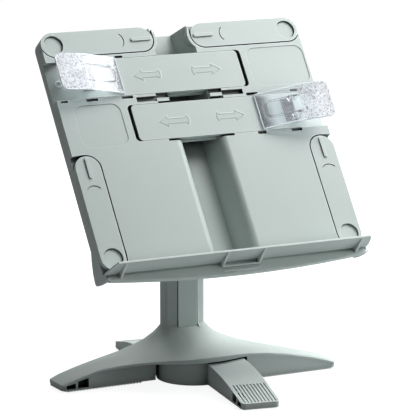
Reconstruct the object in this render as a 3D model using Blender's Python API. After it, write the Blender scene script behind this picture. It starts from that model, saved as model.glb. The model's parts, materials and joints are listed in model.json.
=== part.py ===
# Reading stand: book panel on a telescopic column over a folding cross base.
# Metres. X to the right, Y to the back, Z up. The hub's centre stands over the origin, on the ground.
# The panel and all that it carries are built in panel axes (s to the right, q up the panel, n outward
# from its face) and hang on one empty that tilts them back.

import math

import bmesh
import bpy
from mathutils import Vector

for old in list(bpy.data.objects):
    bpy.data.objects.remove(old, do_unlink=True)

# Fits
still_gap = 0.0003          # between pieces that are fixed to one another
slide_gap = 0.0004          # around sliding pieces
swing_gap = 0.0008          # around pieces that swing past a wall
arm_gap = 0.0014            # the wider one around the swing arms
overrun = 0.002             # how far cutters reach past the faces they cut
quarter_steps = 6           # facets in a quarter circle

# Panel
panel_half_width = 0.150
panel_top = 0.2556
panel_foot = -0.0135
panel_depth = 0.018
panel_floor = 0.013         # depth of the solid front part
panel_wall = 0.003
panel_skin = 0.003          # over the hollows behind the plain lower halves
panel_hollow_clear = 0.008  # from a hollow to the lower bar's bed
panel_corner = 0.0142
panel_tilt = math.radians(35.5)
panel_origin = (0.0, -0.0903, 0.1594)

# Spine channel, between the two halves of the panel
channel_half_width = 0.024
channel_floor_half_width = 0.012
channel_depth = 0.025
channel_wall = 0.003
mouth_round = 0.0085        # rounding of the channel's edges below the lower bar

# Side cheeks, (n, q) outline around the ledge's rod
cheek_outline = (
    (-0.001, 0.030), (-0.018, 0.030), (-0.018, 0.015), (-0.0222, 0.007), (-0.0266, -0.005),
    (-0.0281, -0.0140), (-0.0275, -0.0172), (-0.0253, -0.0190), (-0.0180, -0.0212),
    (-0.0107, -0.0228), (-0.0040, -0.0238), (-0.0004, -0.0226), (-0.0002, -0.0130), (-0.001, 0.010),
)

# Swing arms
arm_half_width = 0.0140
arm_length = 0.0994         # from pivot to the centre of the round free end
arm_thickness = 0.0060
arm_top_reveal = 0.0002
arm_pivot_s = panel_half_width - arm_half_width
side_arm_pivot_q = 0.0
top_arm_pivot_q = panel_top - arm_half_width - arm_top_reveal
arm_dish_radius = 0.0106
arm_dish_depth = 0.0022
arm_ridge_start = 0.0880
arm_ridge_end = 0.1110
arm_ridge_half_width = 0.0019
arm_ridge_height = 0.0016
arm_arc_distance = 0.0790
arm_arc_radius = 0.0090
arm_arc_half_angle = math.radians(50.0)
arm_arc_groove = 0.0014
arm_arc_depth = 0.0010

# Pins that hold the arms
pin_head_radius = 0.0100
pin_head_thickness = 0.0014
pin_radius = 0.0035
pin_tail = 0.0018           # length behind the panel's floor

# Slide bars: (low q, high q) and the inner end
upper_bar_low = 0.1780
upper_bar_high = 0.2210
lower_bar_low = 0.1250
lower_bar_high = 0.1660
bar_outer_end = panel_half_width
upper_bar_inner_end = 0.0690
lower_bar_inner_end = 0.0700
bar_end_gap = 0.0042
bar_thickness = 0.0100
bar_flange = 0.0014
bar_flange_depth = 0.0062
bar_corner = 0.0045
bar_edge_round = 0.0012
# finger scoop at the outer end, (distance in from the end, height)
bar_scoop = ((0.0335, 0.0), (0.0270, -0.0004), (0.0200, -0.0014), (0.0130, -0.0034), (0.0060, -0.0062),
             (0.0, -0.0092))

# Snap windows and notches of the lands beside the bars: (low, high) as shares of the panel's half
# width, then (low q, high q)
land_cut_shares = (
    (-0.407, -0.253, 0.1688, 0.1748), (0.253, 0.420, 0.1692, 0.1752),
    (-0.780, -0.693, 0.1740, 0.1772), (-0.513, -0.427, 0.1740, 0.1772),
    (0.440, 0.533, 0.1668, 0.1700), (0.787, 0.893, 0.1668, 0.1700),
    (0.440, 0.507, 0.1212, 0.1245), (0.707, 0.793, 0.1212, 0.1245),
    (-0.480, -0.420, 0.2215, 0.2240), (-0.973, -0.920, 0.1745, 0.1772),
    (-0.253, 0.257, 0.1222, 0.1262), (-0.253, -0.155, 0.1718, 0.1780), (-0.253, -0.155, 0.1660, 0.1682),
    (0.155, 0.257, 0.1730, 0.1780), (0.155, 0.257, 0.1660, 0.1692),
)
land_cut_depth = 0.0045

# Shallow blanks beside the inner ends of the bars: inner and outer distance from the panel's edge,
# then (low q, high q)
upper_blank = (0.0700, 0.0020, 0.1770, 0.2220)
lower_blank = (0.0680, 0.0160, 0.1220, 0.1700)
blank_depth = 0.0006
blank_corner = 0.0100

# Page clips, measured from the bar's face
clip_half_width = 0.0205
clip_thickness = 0.0026
# the lever's underside, (distance out from its jaw, height)
clip_rise = (
    (0.0, 0.0003), (0.0030, 0.0030), (0.0120, 0.0075), (0.0220, 0.0108), (0.0320, 0.0135),
    (0.0420, 0.0158), (0.0520, 0.0178), (0.0620, 0.0193), (0.0700, 0.0203), (0.0770, 0.0211),
)
clip_jaw = bar_outer_end - clip_rise[-1][0]
clip_line = [(clip_jaw + along, height) for along, height in clip_rise]
clip_pad_length = 0.0320
clip_pad_start = bar_outer_end - clip_pad_length
clip_pad_half_width = 0.0175
clip_pivot_inset = 0.0370
clip_pivot = bar_outer_end - clip_pivot_inset
clip_pivot_height = 0.0070
clip_tongue_inset = 0.0150
clip_tongue_length = 0.0180
clip_tongue_start = clip_jaw + clip_tongue_inset
clip_tongue_end = clip_tongue_start + clip_tongue_length
clip_tongue_half_width = 0.0110
clip_tongue_slot = 0.0016
clip_ear_thickness = 0.0025
clip_ear_q = 0.0130
clip_ear_radius = 0.0042
clip_base_length = 0.0200
clip_base_thickness = 0.0012
clip_pin_radius = 0.0015
clip_pin_bore = 0.00156

# Ledge: a wedge plate on a rod, with a deeper belly in the middle
ledge_half_length = panel_half_width
ledge_tip = 0.0250
# the end of the plate, (distance in from the panel's edge, n)
ledge_end_line = ((0.0036, -0.0180), (0.0036, 0.0013), (0.0001, 0.0013), (0.0006, 0.0080), (0.0020, 0.0150),
                  (0.0040, 0.0210), (0.0065, 0.0270))
ledge_rod_depth = 0.0060
ledge_rod_drop = 0.0185
ledge_rod_radius = 0.0015
ledge_rod_bore = 0.00156
ledge_belly = 0.0078
ledge_stations = (-1.0, -0.93, -0.80, -0.62, -0.42, -0.21, 0.0, 0.21, 0.42, 0.62, 0.80, 0.93, 1.0)
# (n, q, share of the belly) around the section, from the lip's tip along the underside
ledge_section = (
    (0.0250, -0.0153, 0.0), (0.0250, -0.0170, 0.0), (-0.0005, -0.0186, 0.0), (0.0008, -0.0203, 0.2),
    (0.0020, -0.0226, 0.6), (0.0018, -0.0244, 1.0), (0.0002, -0.0252, 1.0), (-0.0022, -0.0254, 1.0),
    (-0.0045, -0.0246, 1.0), (-0.0068, -0.0232, 0.6), (-0.0088, -0.0214, 0.05), (-0.0100, -0.0192, 0.0),
    (-0.0098, -0.0172, 0.0), (-0.0086, -0.0156, 0.0), (-0.0065, -0.0147, 0.0), (-0.0035, -0.0150, 0.0),
    (0.0003, -0.0156, 0.0), (0.0100, -0.0160, 0.0), (0.0200, -0.0158, 0.0), (0.0232, -0.0157, 0.0),
    (0.0240, -0.0151, 0.0),
)
# gussets between the plate's underside and the belly, (n, q)
gusset_outline = ((0.0240, -0.0164), (0.0240, -0.0174), (0.0026, -0.0240), (-0.0025, -0.0228),
                  (-0.0030, -0.0176))
gusset_half_thickness = 0.0010
gusset_end_inset = 0.0150
gusset_middle = 0.0210
# fine ribs across the belly between the middle gussets, their q
rib_places = (-0.0238, -0.0290)
rib_front = 0.0036
rib_back = -0.0020
rib_half_thickness = 0.0006

# Back covers
cover_thickness = 0.0024
cover_inner_s = 0.0300
cover_screw_radius = 0.0030
cover_screw_head = 0.0016
cover_screw_shank = 0.0014
cover_screw_depth = 0.0030
cover_screw_inset = 0.0500
cover_screw_s = panel_half_width - cover_screw_inset
cover_screw_q = (0.0400, 0.2100)
cover_boss_radius = 0.0045

# Tilt joint
tilt_q = 0.1452
tilt_back = 0.0415
tilt_plate_half_length = 0.0270
tilt_plate_half_width = 0.0134
tilt_plate_thickness = 0.0032
tilt_ear_thickness = 0.0032
tilt_ear_radius = 0.0095
tilt_bolt_radius = 0.0040
tilt_bolt_bore = 0.00408
tilt_bolt_head_radius = 0.0070
tilt_bolt_head = 0.0040
tilt_washer_radius = 0.0085
tilt_washer_thickness = 0.0010
tilt_knob_radius = 0.0110
tilt_knob_length = 0.0120
knob_lobe_depth = 0.0010
bracket_screw_q = (0.1345, 0.1660)
bracket_screw_head_radius = 0.0035
bracket_screw_head = 0.0020
bracket_screw_radius = 0.0016
bracket_screw_length = 0.0052

# Column and post
column_y = 0.0278
column_half_width = 0.0250
column_half_depth = 0.0140
column_wall = 0.0030
column_top = 0.1650
column_root = 0.0535
post_bottom = 0.0750
post_shoulder = 0.2340
post_wall = 0.0025
post_cap = 0.0060
post_neck_half_depth = 0.0080
post_head_radius = 0.0092
collar_height = 0.0060
collar_brim = 0.0010
strip_half_width = 0.0113
strip_front = 0.0146       # in front of the column's axis
strip_thickness = 0.0040
strip_left_round = 0.0004
strip_right_round = 0.0016
strip_bottom = 0.0520
strip_top = 0.1630
strip_side_gap = 0.0006
strip_mark_z = 0.0865
strip_mark_size = 0.0016
strip_mark_height = 0.0003
seam_angle = math.radians(27.6)   # of the mould seam around the column, from the left
seam_half_width = 0.0004
seam_depth = 0.0008
clamp_z = 0.1460
clamp_boss_radius = 0.0090
clamp_boss_back = 0.0500
clamp_stud_radius = 0.0040
clamp_insert_radius = 0.0060
clamp_insert_bore = 0.00408
clamp_insert_length = 0.0060
clamp_knob_radius = 0.0150
clamp_knob_length = 0.0120
clamp_pad_thickness = 0.0010

# Base cover: plan outline of one half, the other half is the same turned by 180 degrees
leg_tip = 0.1513
leg_near = 0.0019
leg_far = 0.0373
leg_tip_corner = 0.0050
leg_inner_end = 0.0440
leg_reveal = 0.0004
rim_bottom = 0.0256
rim_sheet = 0.0022          # thickness where the cover overhangs
leg_sheet = 0.0050          # thickness over the legs
leg_sheet_reach = 0.0120
band_edge_share = 1.15
band_blend_share = 0.30
rim_line = (
    (-0.1300, 0.0011), (-0.1160, 0.0003), (-0.1060, -0.0020), (-0.0920, -0.0080), (-0.0770, -0.0150),
    (-0.0620, -0.0220), (-0.0440, -0.0310), (-0.0250, -0.0400), (-0.0070, -0.0440), (0.0120, -0.0440),
    (0.0290, -0.0405), (0.0440, -0.0376),
)
rim_leg_shares = (0.25, 0.5, 0.75)
# height of the cover's top over the distance along the leg
leg_heights = (
    (0.0, 0.0300), (0.0410, 0.0280), (0.0590, 0.0268), (0.0830, 0.0244), (0.1070, 0.0202),
    (0.1320, 0.0140), (0.1500, 0.0082),
)
leg_crown = 0.0016
flare_reach = 0.0190
cover_waist_reach = 0.0580        # the legs' rings run to here, then turn towards the column
cover_waist_inset_share = 0.97
hub_clear_share = 0.62      # flat underside over the hub, up to this share of the way to the waist
leg_ring_shares = (0.07, 0.24, 0.44, 0.64, 0.83)
flare_ring_shares = (0.0, 0.18, 0.36, 0.53, 0.68, 0.81, 0.92)
cover_edge_round = 0.0012
leg_ground = 0.0013
leg_depth_under_cover = 0.0020

# Hollows under the legs, feet and hub
shell_wall = 0.0030
hollow_start = 0.0560       # along a leg or foot, from the hub's middle
hollow_end = 0.1050
hollow_roof = 0.0060        # under the top surface
hub_hollow_roof = 0.0200
hub_hollow_inner = 0.0160
hub_rib_angle = math.radians(9.0)

# Cross bar: hub and two feet
hub_radius = 0.0398
hub_top = 0.0252
hub_bottom = 0.0005
foot_ground = 0.0013
foot_length = 0.1480
foot_taper = 0.0030          # the near flank leans out to the hub by this
foot_width = 0.0409
foot_offset = 0.0042
foot_turn = math.radians(9.6)
foot_tip_corner = 0.0050
foot_root_corner = 0.0300
foot_heights = (
    (0.0, 0.0243), (0.0350, 0.0240), (0.0600, 0.0228), (0.0850, 0.0202), (0.1050, 0.0168),
    (0.1250, 0.0124), (0.1480, 0.0076),
)
groove_count = 10
groove_start = 0.1065
groove_end = 0.1462
groove_width = 0.0017
groove_depth = 0.0010
groove_margin = 0.0040

# Dark windows in the flanks near the tips, distances back from the tip
window_cuts = ((0.0043, 0.0151, 0.0028, 0.0085), (0.0174, 0.0300, 0.0028, 0.0128))
window_depth = 0.0100
window_rise_share = 0.82     # how much lower a window is at the tip's end

# Soles
sole_thickness = 0.0010
sole_rib = 0.0005
sole_pitch = 0.0024
sole_rib_count = 15
sole_margin = 0.0030
sole_tip_gap = 0.0040

# Pivot screw of the cross bar
pivot_screw_radius = 0.0050
pivot_screw_bore = 0.00508
pivot_head_radius = 0.0080
pivot_head_height = 0.0030
pivot_head_z = 0.0040
pivot_well_radius = 0.0120
pivot_washer_radius = 0.0105
pivot_washer_thickness = 0.0012
pivot_screw_top = 0.0285


# Collections and materials

stand = bpy.data.collections.new("reading_stand")
bpy.context.scene.collection.children.link(stand)
cutters = bpy.data.collections.new("cutters")
bpy.context.scene.collection.children.link(cutters)


def plain_material(name, colour, rough, metal=0.0, alpha=1.0):
    made = bpy.data.materials.new(name)
    made.use_nodes = True
    shader = made.node_tree.nodes["Principled BSDF"]
    shader.inputs["Base Color"].default_value = (*colour, 1.0)
    shader.inputs["Roughness"].default_value = rough
    shader.inputs["Metallic"].default_value = metal
    shader.inputs["Alpha"].default_value = alpha
    return made


# one material per piece, from a handful of kinds
kinds = {
    "sage": ((0.47, 0.53, 0.52), 0.45, 0.0, 1.0),
    "clear": ((0.90, 0.93, 0.94), 0.08, 0.0, 0.35),
    "steel": ((0.55, 0.55, 0.56), 0.30, 1.0, 1.0),
    "brass": ((0.70, 0.52, 0.25), 0.35, 1.0, 1.0),
    "dark": ((0.05, 0.055, 0.055), 0.50, 0.0, 1.0),
    "rubber": ((0.20, 0.23, 0.22), 0.80, 0.0, 1.0),
}


# Outlines

def arc(centre, radius, start, end, steps=quarter_steps):
    points = []
    for step in range(steps + 1):
        angle = start + (end - start) * step / steps
        points.append((centre[0] + radius * math.cos(angle), centre[1] + radius * math.sin(angle)))
    return points


def circle(centre, radius, steps=4 * quarter_steps):
    return arc(centre, radius, 0.0, math.tau * (1.0 - 1.0 / steps), steps - 1)


def oval(centre, half_width, half_depth, steps=6 * quarter_steps):
    return [(centre[0] + half_width * math.cos(math.tau * step / steps),
             centre[1] + half_depth * math.sin(math.tau * step / steps)) for step in range(steps)]


def box_outline(low, high):
    return [(low[0], low[1]), (high[0], low[1]), (high[0], high[1]), (low[0], high[1])]


def rounded_box(low, high, corners):
    # corners: radii at low-low, high-low, high-high, low-high
    places = (
        ((low[0] + corners[0], low[1] + corners[0]), math.pi),
        ((high[0] - corners[1], low[1] + corners[1]), 1.5 * math.pi),
        ((high[0] - corners[2], high[1] - corners[2]), 0.0),
        ((low[0] + corners[3], high[1] - corners[3]), 0.5 * math.pi),
    )
    points = []
    for (centre, start), radius in zip(places, corners):
        points += arc(centre, radius, start, start + 0.5 * math.pi) if radius else [centre]
    return points


def turned(points, angle, centre=(0.0, 0.0)):
    out = []
    for first, second in points:
        across, along = first - centre[0], second - centre[1]
        out.append((centre[0] + across * math.cos(angle) - along * math.sin(angle),
                    centre[1] + across * math.sin(angle) + along * math.cos(angle)))
    return out


def reading(table, place):
    # height at a place, from a table of (place, height)
    for (first, low), (second, high) in zip(table, table[1:]):
        if place <= second:
            share = (place - first) / (second - first)
            share = min(max(share, 0.0), 1.0)
            return low + (high - low) * share
    return table[-1][1]


# Solids

def loft(rings):
    # closed solid from rings of equal length, capped at both ends
    verts = [point for ring in rings for point in ring]
    count = len(rings[0])
    faces = []
    for level in range(len(rings) - 1):
        for step in range(count):
            following = (step + 1) % count
            faces.append((level * count + step, level * count + following,
                          (level + 1) * count + following, (level + 1) * count + step))
    faces.append(tuple(range(count)))
    last = (len(rings) - 1) * count
    faces.append(tuple(range(last, last + count)))
    return verts, faces


def prism(outline, axis, low, high):
    # outline lies in the plane across the axis: (y, z), (x, z) or (x, y)
    def placed(point, level):
        if axis == "x":
            return (level, point[0], point[1])
        if axis == "y":
            return (point[0], level, point[1])
        return (point[0], point[1], level)
    return loft([[placed(point, low) for point in outline], [placed(point, high) for point in outline]])


def joined(solids):
    verts, faces = [], []
    for more_verts, more_faces in solids:
        offset = len(verts)
        verts += more_verts
        faces += [tuple(index + offset for index in face) for face in more_faces]
    return verts, faces


def moved(solid, offset):
    verts, faces = solid
    return [tuple(Vector(vert) + Vector(offset)) for vert in verts], faces


def mesh_object(name, solid, collection, curved=False):
    # curved solids have warped quads, which are split before anything is cut from them
    mesh = bpy.data.meshes.new(name)
    mesh.from_pydata(solid[0], [], solid[1])
    made = bmesh.new()
    made.from_mesh(mesh)
    if curved:
        bmesh.ops.triangulate(made, faces=made.faces)
    bmesh.ops.recalc_face_normals(made, faces=made.faces)
    made.to_mesh(mesh)
    made.free()
    piece = bpy.data.objects.new(name, mesh)
    collection.objects.link(piece)
    return piece


def set_smooth(piece, limit_share=0.19):
    # round faces are shaded smooth, the others stay flat
    mesh = piece.data
    for face in mesh.polygons:
        face.use_smooth = True
    mesh.set_sharp_from_angle(angle=math.pi * limit_share)


def piece(name, kind, solid, parent=None, origin=(0.0, 0.0, 0.0), curved=False):
    made = mesh_object(name, moved(solid, [-part for part in origin]), stand, curved)
    set_smooth(made)
    made.data.materials.append(plain_material(name + "_" + kind, *kinds[kind]))
    made.location = origin
    made.parent = parent
    return made


def change(target, solid, operation, label):
    # a cutter lies in the same place and under the same parent as its target
    placed = moved(solid, [-part for part in target.location])
    cutter = mesh_object(target.name + "_" + label, placed, cutters)
    cutter.location = target.location
    cutter.parent = target.parent
    cutter.hide_render = True
    cutter.display_type = "WIRE"
    step = target.modifiers.new(label, "BOOLEAN")
    step.operation = operation
    step.solver = "EXACT"
    step.object = cutter


def cut(target, solid, label):
    change(target, solid, "DIFFERENCE", label)


def add(target, solid, label):
    change(target, solid, "UNION", label)


def lobed(centre, radius, lobes=8, steps=8 * 6):
    points = []
    for step in range(steps):
        angle = math.tau * step / steps
        reach = radius - knob_lobe_depth * (0.5 - 0.5 * math.cos(lobes * angle))
        points.append((centre[0] + reach * math.cos(angle), centre[1] + reach * math.sin(angle)))
    return points


# Panel axes

panel_axes = bpy.data.objects.new("panel_axes", None)
stand.objects.link(panel_axes)
panel_axes.location = panel_origin
panel_axes.rotation_euler = (0.5 * math.pi - panel_tilt, 0.0, 0.0)


# Panel

corner = panel_corner
panel_outline = rounded_box((-panel_half_width, panel_foot), (panel_half_width, panel_top),
                            (0.0, 0.0, corner, corner))
panel = piece("book_panel", "sage", prism(panel_outline, "z", -panel_depth, 0.0), panel_axes)

back_inner = channel_half_width + channel_wall
for side, name in ((-1.0, "left"), (1.0, "right")):
    edges = sorted((side * back_inner, side * (panel_half_width - panel_wall)))
    pocket = rounded_box((edges[0], panel_foot + panel_wall), (edges[1], panel_top - panel_wall),
                         (0.0, 0.0, corner if side > 0.0 else 0.0, corner if side < 0.0 else 0.0))
    cut(panel, prism(pocket, "z", -panel_depth - overrun, -panel_floor), "back_pocket_" + name)

    # the half is hollow behind its plain lower part, with a boss for the cover's lower screw
    arm_edge = arm_pivot_s - arm_half_width - arm_gap
    spans = sorted((side * (back_inner + panel_wall), side * (arm_edge - panel_wall)))
    hollow = rounded_box((spans[0], 0.0), (spans[1], lower_bar_low - panel_hollow_clear), [panel_wall] * 4)
    cut(panel, prism(hollow, "z", -panel_floor - overrun, -panel_skin), "hollow_" + name)
    boss = circle((side * cover_screw_s, cover_screw_q[0]), cover_boss_radius)
    add(panel, prism(boss, "z", -panel_floor, -panel_skin + overrun), "screw_boss_" + name)

channel_back = channel_depth + channel_wall
channel_outer = [(-back_inner, -panel_floor + channel_wall), (back_inner, -panel_floor + channel_wall),
                 (channel_floor_half_width + channel_wall, -channel_back),
                 (-channel_floor_half_width - channel_wall, -channel_back)]
add(panel, prism(channel_outer, "y", panel_foot, panel_top), "channel_body")

for side, name in ((-1.0, "left"), (1.0, "right")):
    edges = sorted((side * (panel_half_width - panel_wall), side * panel_half_width))
    add(panel, prism([(q, n) for n, q in cheek_outline], "x", edges[0], edges[1]), "cheek_" + name)

slope = (channel_half_width - channel_floor_half_width) / channel_depth
mouth = channel_half_width + slope * overrun
channel_inner = [(-mouth, overrun), (mouth, overrun), (channel_floor_half_width, -channel_depth),
                 (-channel_floor_half_width, -channel_depth)]
cut(panel, prism(channel_inner, "y", panel_foot - overrun, panel_top + overrun), "spine_channel")

# below the lower bar the channel's edges are rounded between the face and the slanting walls
wall_turn = 0.5 * math.pi - math.atan(slope)
tangent = mouth_round * math.tan(0.5 * wall_turn)
half_mouth = arc((channel_half_width + tangent, -mouth_round), mouth_round, 0.5 * math.pi,
                 0.5 * math.pi + wall_turn)
mouth_line = [(channel_half_width + tangent, overrun)] + half_mouth
mouth_line += [(-s, n) for s, n in reversed(mouth_line)]
cut(panel, prism(mouth_line, "y", panel_foot - overrun, lower_bar_low), "mouth")

# the curved wall around each top arm's free end stands in the channel
end_wall = arm_half_width + arm_gap + channel_wall
for side, name in ((-1.0, "left"), (1.0, "right")):
    centre = (side * (arm_pivot_s - arm_length), top_arm_pivot_q)
    shape = [(first, min(second, panel_top)) for first, second in circle(centre, end_wall)]
    add(panel, prism(shape, "z", -panel_floor, 0.0), "end_wall_" + name)


# where an arm lies: pivot, direction along the arm and direction it swings to, in (s, q)
arm_places = {
    "upper_left": ((-arm_pivot_s, top_arm_pivot_q), (1.0, 0.0), (0.0, 1.0)),
    "upper_right": ((arm_pivot_s, top_arm_pivot_q), (-1.0, 0.0), (0.0, 1.0)),
    "lower_left": ((-arm_pivot_s, side_arm_pivot_q), (0.0, 1.0), (-1.0, 0.0)),
    "lower_right": ((arm_pivot_s, side_arm_pivot_q), (0.0, 1.0), (1.0, 0.0)),
}


def on_panel(points, place):
    # from (along the arm, towards its swing) to (s, q)
    pivot, along, swing = place
    return [(pivot[0] + a * along[0] + b * swing[0], pivot[1] + a * along[1] + b * swing[1])
            for a, b in points]


def recess_outline():
    # room for the arm and for the quarter turn of its round end
    wide = arm_half_width + arm_gap
    reach = arm_length + wide
    out = arm_half_width + overrun
    sweep = math.asin(out / reach)
    points = arc((0.0, 0.0), wide, math.pi, 1.5 * math.pi)
    points += arc((arm_length, 0.0), wide, -0.5 * math.pi, 0.0)
    points += arc((0.0, 0.0), reach, 0.0, sweep)[1:]
    points.append((-out, out))
    points.append((-out, 0.0))
    return points


for name, place in arm_places.items():
    floor = -arm_thickness - still_gap
    cut(panel, prism(on_panel(recess_outline(), place), "z", floor, overrun), "recess_" + name)

bars = {
    "upper": (upper_bar_low, upper_bar_high, -1.0, upper_bar_inner_end),
    "lower": (lower_bar_low, lower_bar_high, 1.0, lower_bar_inner_end),
}
for name, (low, high, side, inner) in bars.items():
    ends = sorted((side * (bar_outer_end + overrun), -side * (inner + bar_end_gap)))
    radii = [bar_corner] * 4
    for index, is_outer in enumerate((side < 0.0, side > 0.0, side > 0.0, side < 0.0)):
        if is_outer:
            radii[index] = 0.0
    bed = rounded_box((ends[0], low - slide_gap), (ends[1], high + slide_gap), radii)
    cut(panel, prism(bed, "z", -bar_thickness - slide_gap, overrun), name + "_bed")
    under = box_outline((ends[0], low - bar_flange - slide_gap), (ends[1], high + bar_flange + slide_gap))
    cut(panel, prism(under, "z", -bar_thickness - slide_gap, -bar_flange_depth + slide_gap),
        name + "_undercut")

land_boxes = [prism(box_outline((panel_half_width * left, low), (panel_half_width * right, high)), "z",
                    -land_cut_depth, overrun) for left, right, low, high in land_cut_shares]
for index, land_box in enumerate(land_boxes):
    cut(panel, land_box, "land_cut_%d" % index)

for side, name, (inner, outer, low, high) in ((1.0, "upper", upper_blank), (-1.0, "lower", lower_blank)):
    edges = sorted((side * (panel_half_width - inner), side * (panel_half_width - outer)))
    blank = rounded_box((edges[0], low), (edges[1], high), [blank_corner] * 4)
    cut(panel, prism(blank, "z", -blank_depth, overrun), name + "_blank")

pin_bore = pin_radius + still_gap
pin_holes = [prism(circle(place[0], pin_bore), "z", -panel_depth, overrun) for place in arm_places.values()]
cut(panel, joined(pin_holes), "pin_holes")
rod_place = (-ledge_rod_drop, -ledge_rod_depth)
rod_hole = prism(circle(rod_place, ledge_rod_radius + still_gap), "x",
                 -panel_half_width + panel_wall - overrun, panel_half_width - panel_wall + overrun)
cut(panel, rod_hole, "rod_holes")
bracket_holes = [prism(circle((0.0, q), bracket_screw_radius + still_gap), "z", -channel_back - overrun,
                       -channel_depth + overrun) for q in bracket_screw_q]
cut(panel, joined(bracket_holes), "bracket_holes")
cover_holes = [prism(circle((side * cover_screw_s, q), cover_screw_shank + still_gap), "z",
                     -panel_depth, -panel_floor + cover_screw_depth)
               for side in (-1.0, 1.0) for q in cover_screw_q]
cut(panel, joined(cover_holes), "cover_holes")


# Swing arms and their pins

def arm_outline(width):
    return (arc((0.0, 0.0), width, 0.5 * math.pi, 1.5 * math.pi, 2 * quarter_steps)
            + arc((arm_length, 0.0), width, -0.5 * math.pi, 0.5 * math.pi, 2 * quarter_steps))


def arc_band(radius, width, half_angle):
    outer = arc((arm_arc_distance - radius, 0.0), radius + width, -half_angle, half_angle)
    inner = arc((arm_arc_distance - radius, 0.0), radius, half_angle, -half_angle)
    return outer + inner


for name, place in arm_places.items():
    pivot = place[0]
    origin = (pivot[0], pivot[1], 0.0)
    arm = piece("swing_arm_" + name, "sage",
                prism(on_panel(arm_outline(arm_half_width), place), "z", -arm_thickness, 0.0),
                panel_axes, origin)
    ridge = rounded_box((arm_ridge_start, -arm_ridge_half_width), (arm_ridge_end, arm_ridge_half_width),
                        [arm_ridge_half_width - still_gap] * 4)
    add(arm, prism(on_panel(ridge, place), "z", -arm_ridge_height, arm_ridge_height), "ridge")
    dish_floor = -arm_dish_depth - pin_head_thickness - still_gap
    cut(arm, prism(circle(pivot, arm_dish_radius), "z", dish_floor, overrun), "dish")
    cut(arm, prism(circle(pivot, pin_radius + still_gap), "z", -arm_thickness - overrun, overrun), "bore")
    band = arc_band(arm_arc_radius, arm_arc_groove, arm_arc_half_angle)
    cut(arm, prism(on_panel(band, place), "z", -arm_arc_depth, overrun), "arc_groove")
    head_top = -arm_dish_depth
    head_bottom = head_top - pin_head_thickness
    pin = piece("arm_pin_" + name, "sage",
                prism(circle(pivot, pin_head_radius), "z", head_bottom, head_top), panel_axes, origin)
    tail = -panel_floor - pin_tail
    add(pin, prism(circle(pivot, pin_radius), "z", tail, head_bottom + still_gap), "shank")


# Slide bars

for name, (low, high, side, inner) in bars.items():
    ends = sorted((side * bar_outer_end, -side * inner))
    radii = [bar_corner] * 4
    for index, is_outer in enumerate((side < 0.0, side > 0.0, side > 0.0, side < 0.0)):
        if is_outer:
            radii[index] = bar_edge_round
    bar = piece(name + "_slide_bar", "sage",
                prism(rounded_box((ends[0], low), (ends[1], high), radii), "z", -bar_thickness, 0.0),
                panel_axes)
    flange = box_outline((ends[0], low - bar_flange), (ends[1], high + bar_flange))
    add(bar, prism(flange, "z", -bar_thickness, -bar_flange_depth), "flange")
    scoop = [(side * (bar_outer_end - inset), height) for inset, height in bar_scoop]
    scoop.append((side * (bar_outer_end + overrun), bar_scoop[-1][1]))
    scoop.append((side * (bar_outer_end + overrun), overrun))
    scoop.append((side * (bar_outer_end - bar_scoop[0][0]), overrun))
    cut(bar, prism(scoop, "y", low - overrun, high + overrun), "scoop")
    foot = (side * clip_pivot, 0.5 * (low + high))
    rivet = circle(foot, cover_screw_radius + still_gap)
    cut(bar, prism(rivet, "z", -clip_base_thickness, overrun), "clip_seat")


# Page clips

def strip_section(line, thickness):
    # closed (d, height) outline of a bent strip with its upper side on the line plus the thickness
    lower = list(line)
    upper = [(distance, height + thickness) for distance, height in reversed(line)]
    return lower + upper


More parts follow.
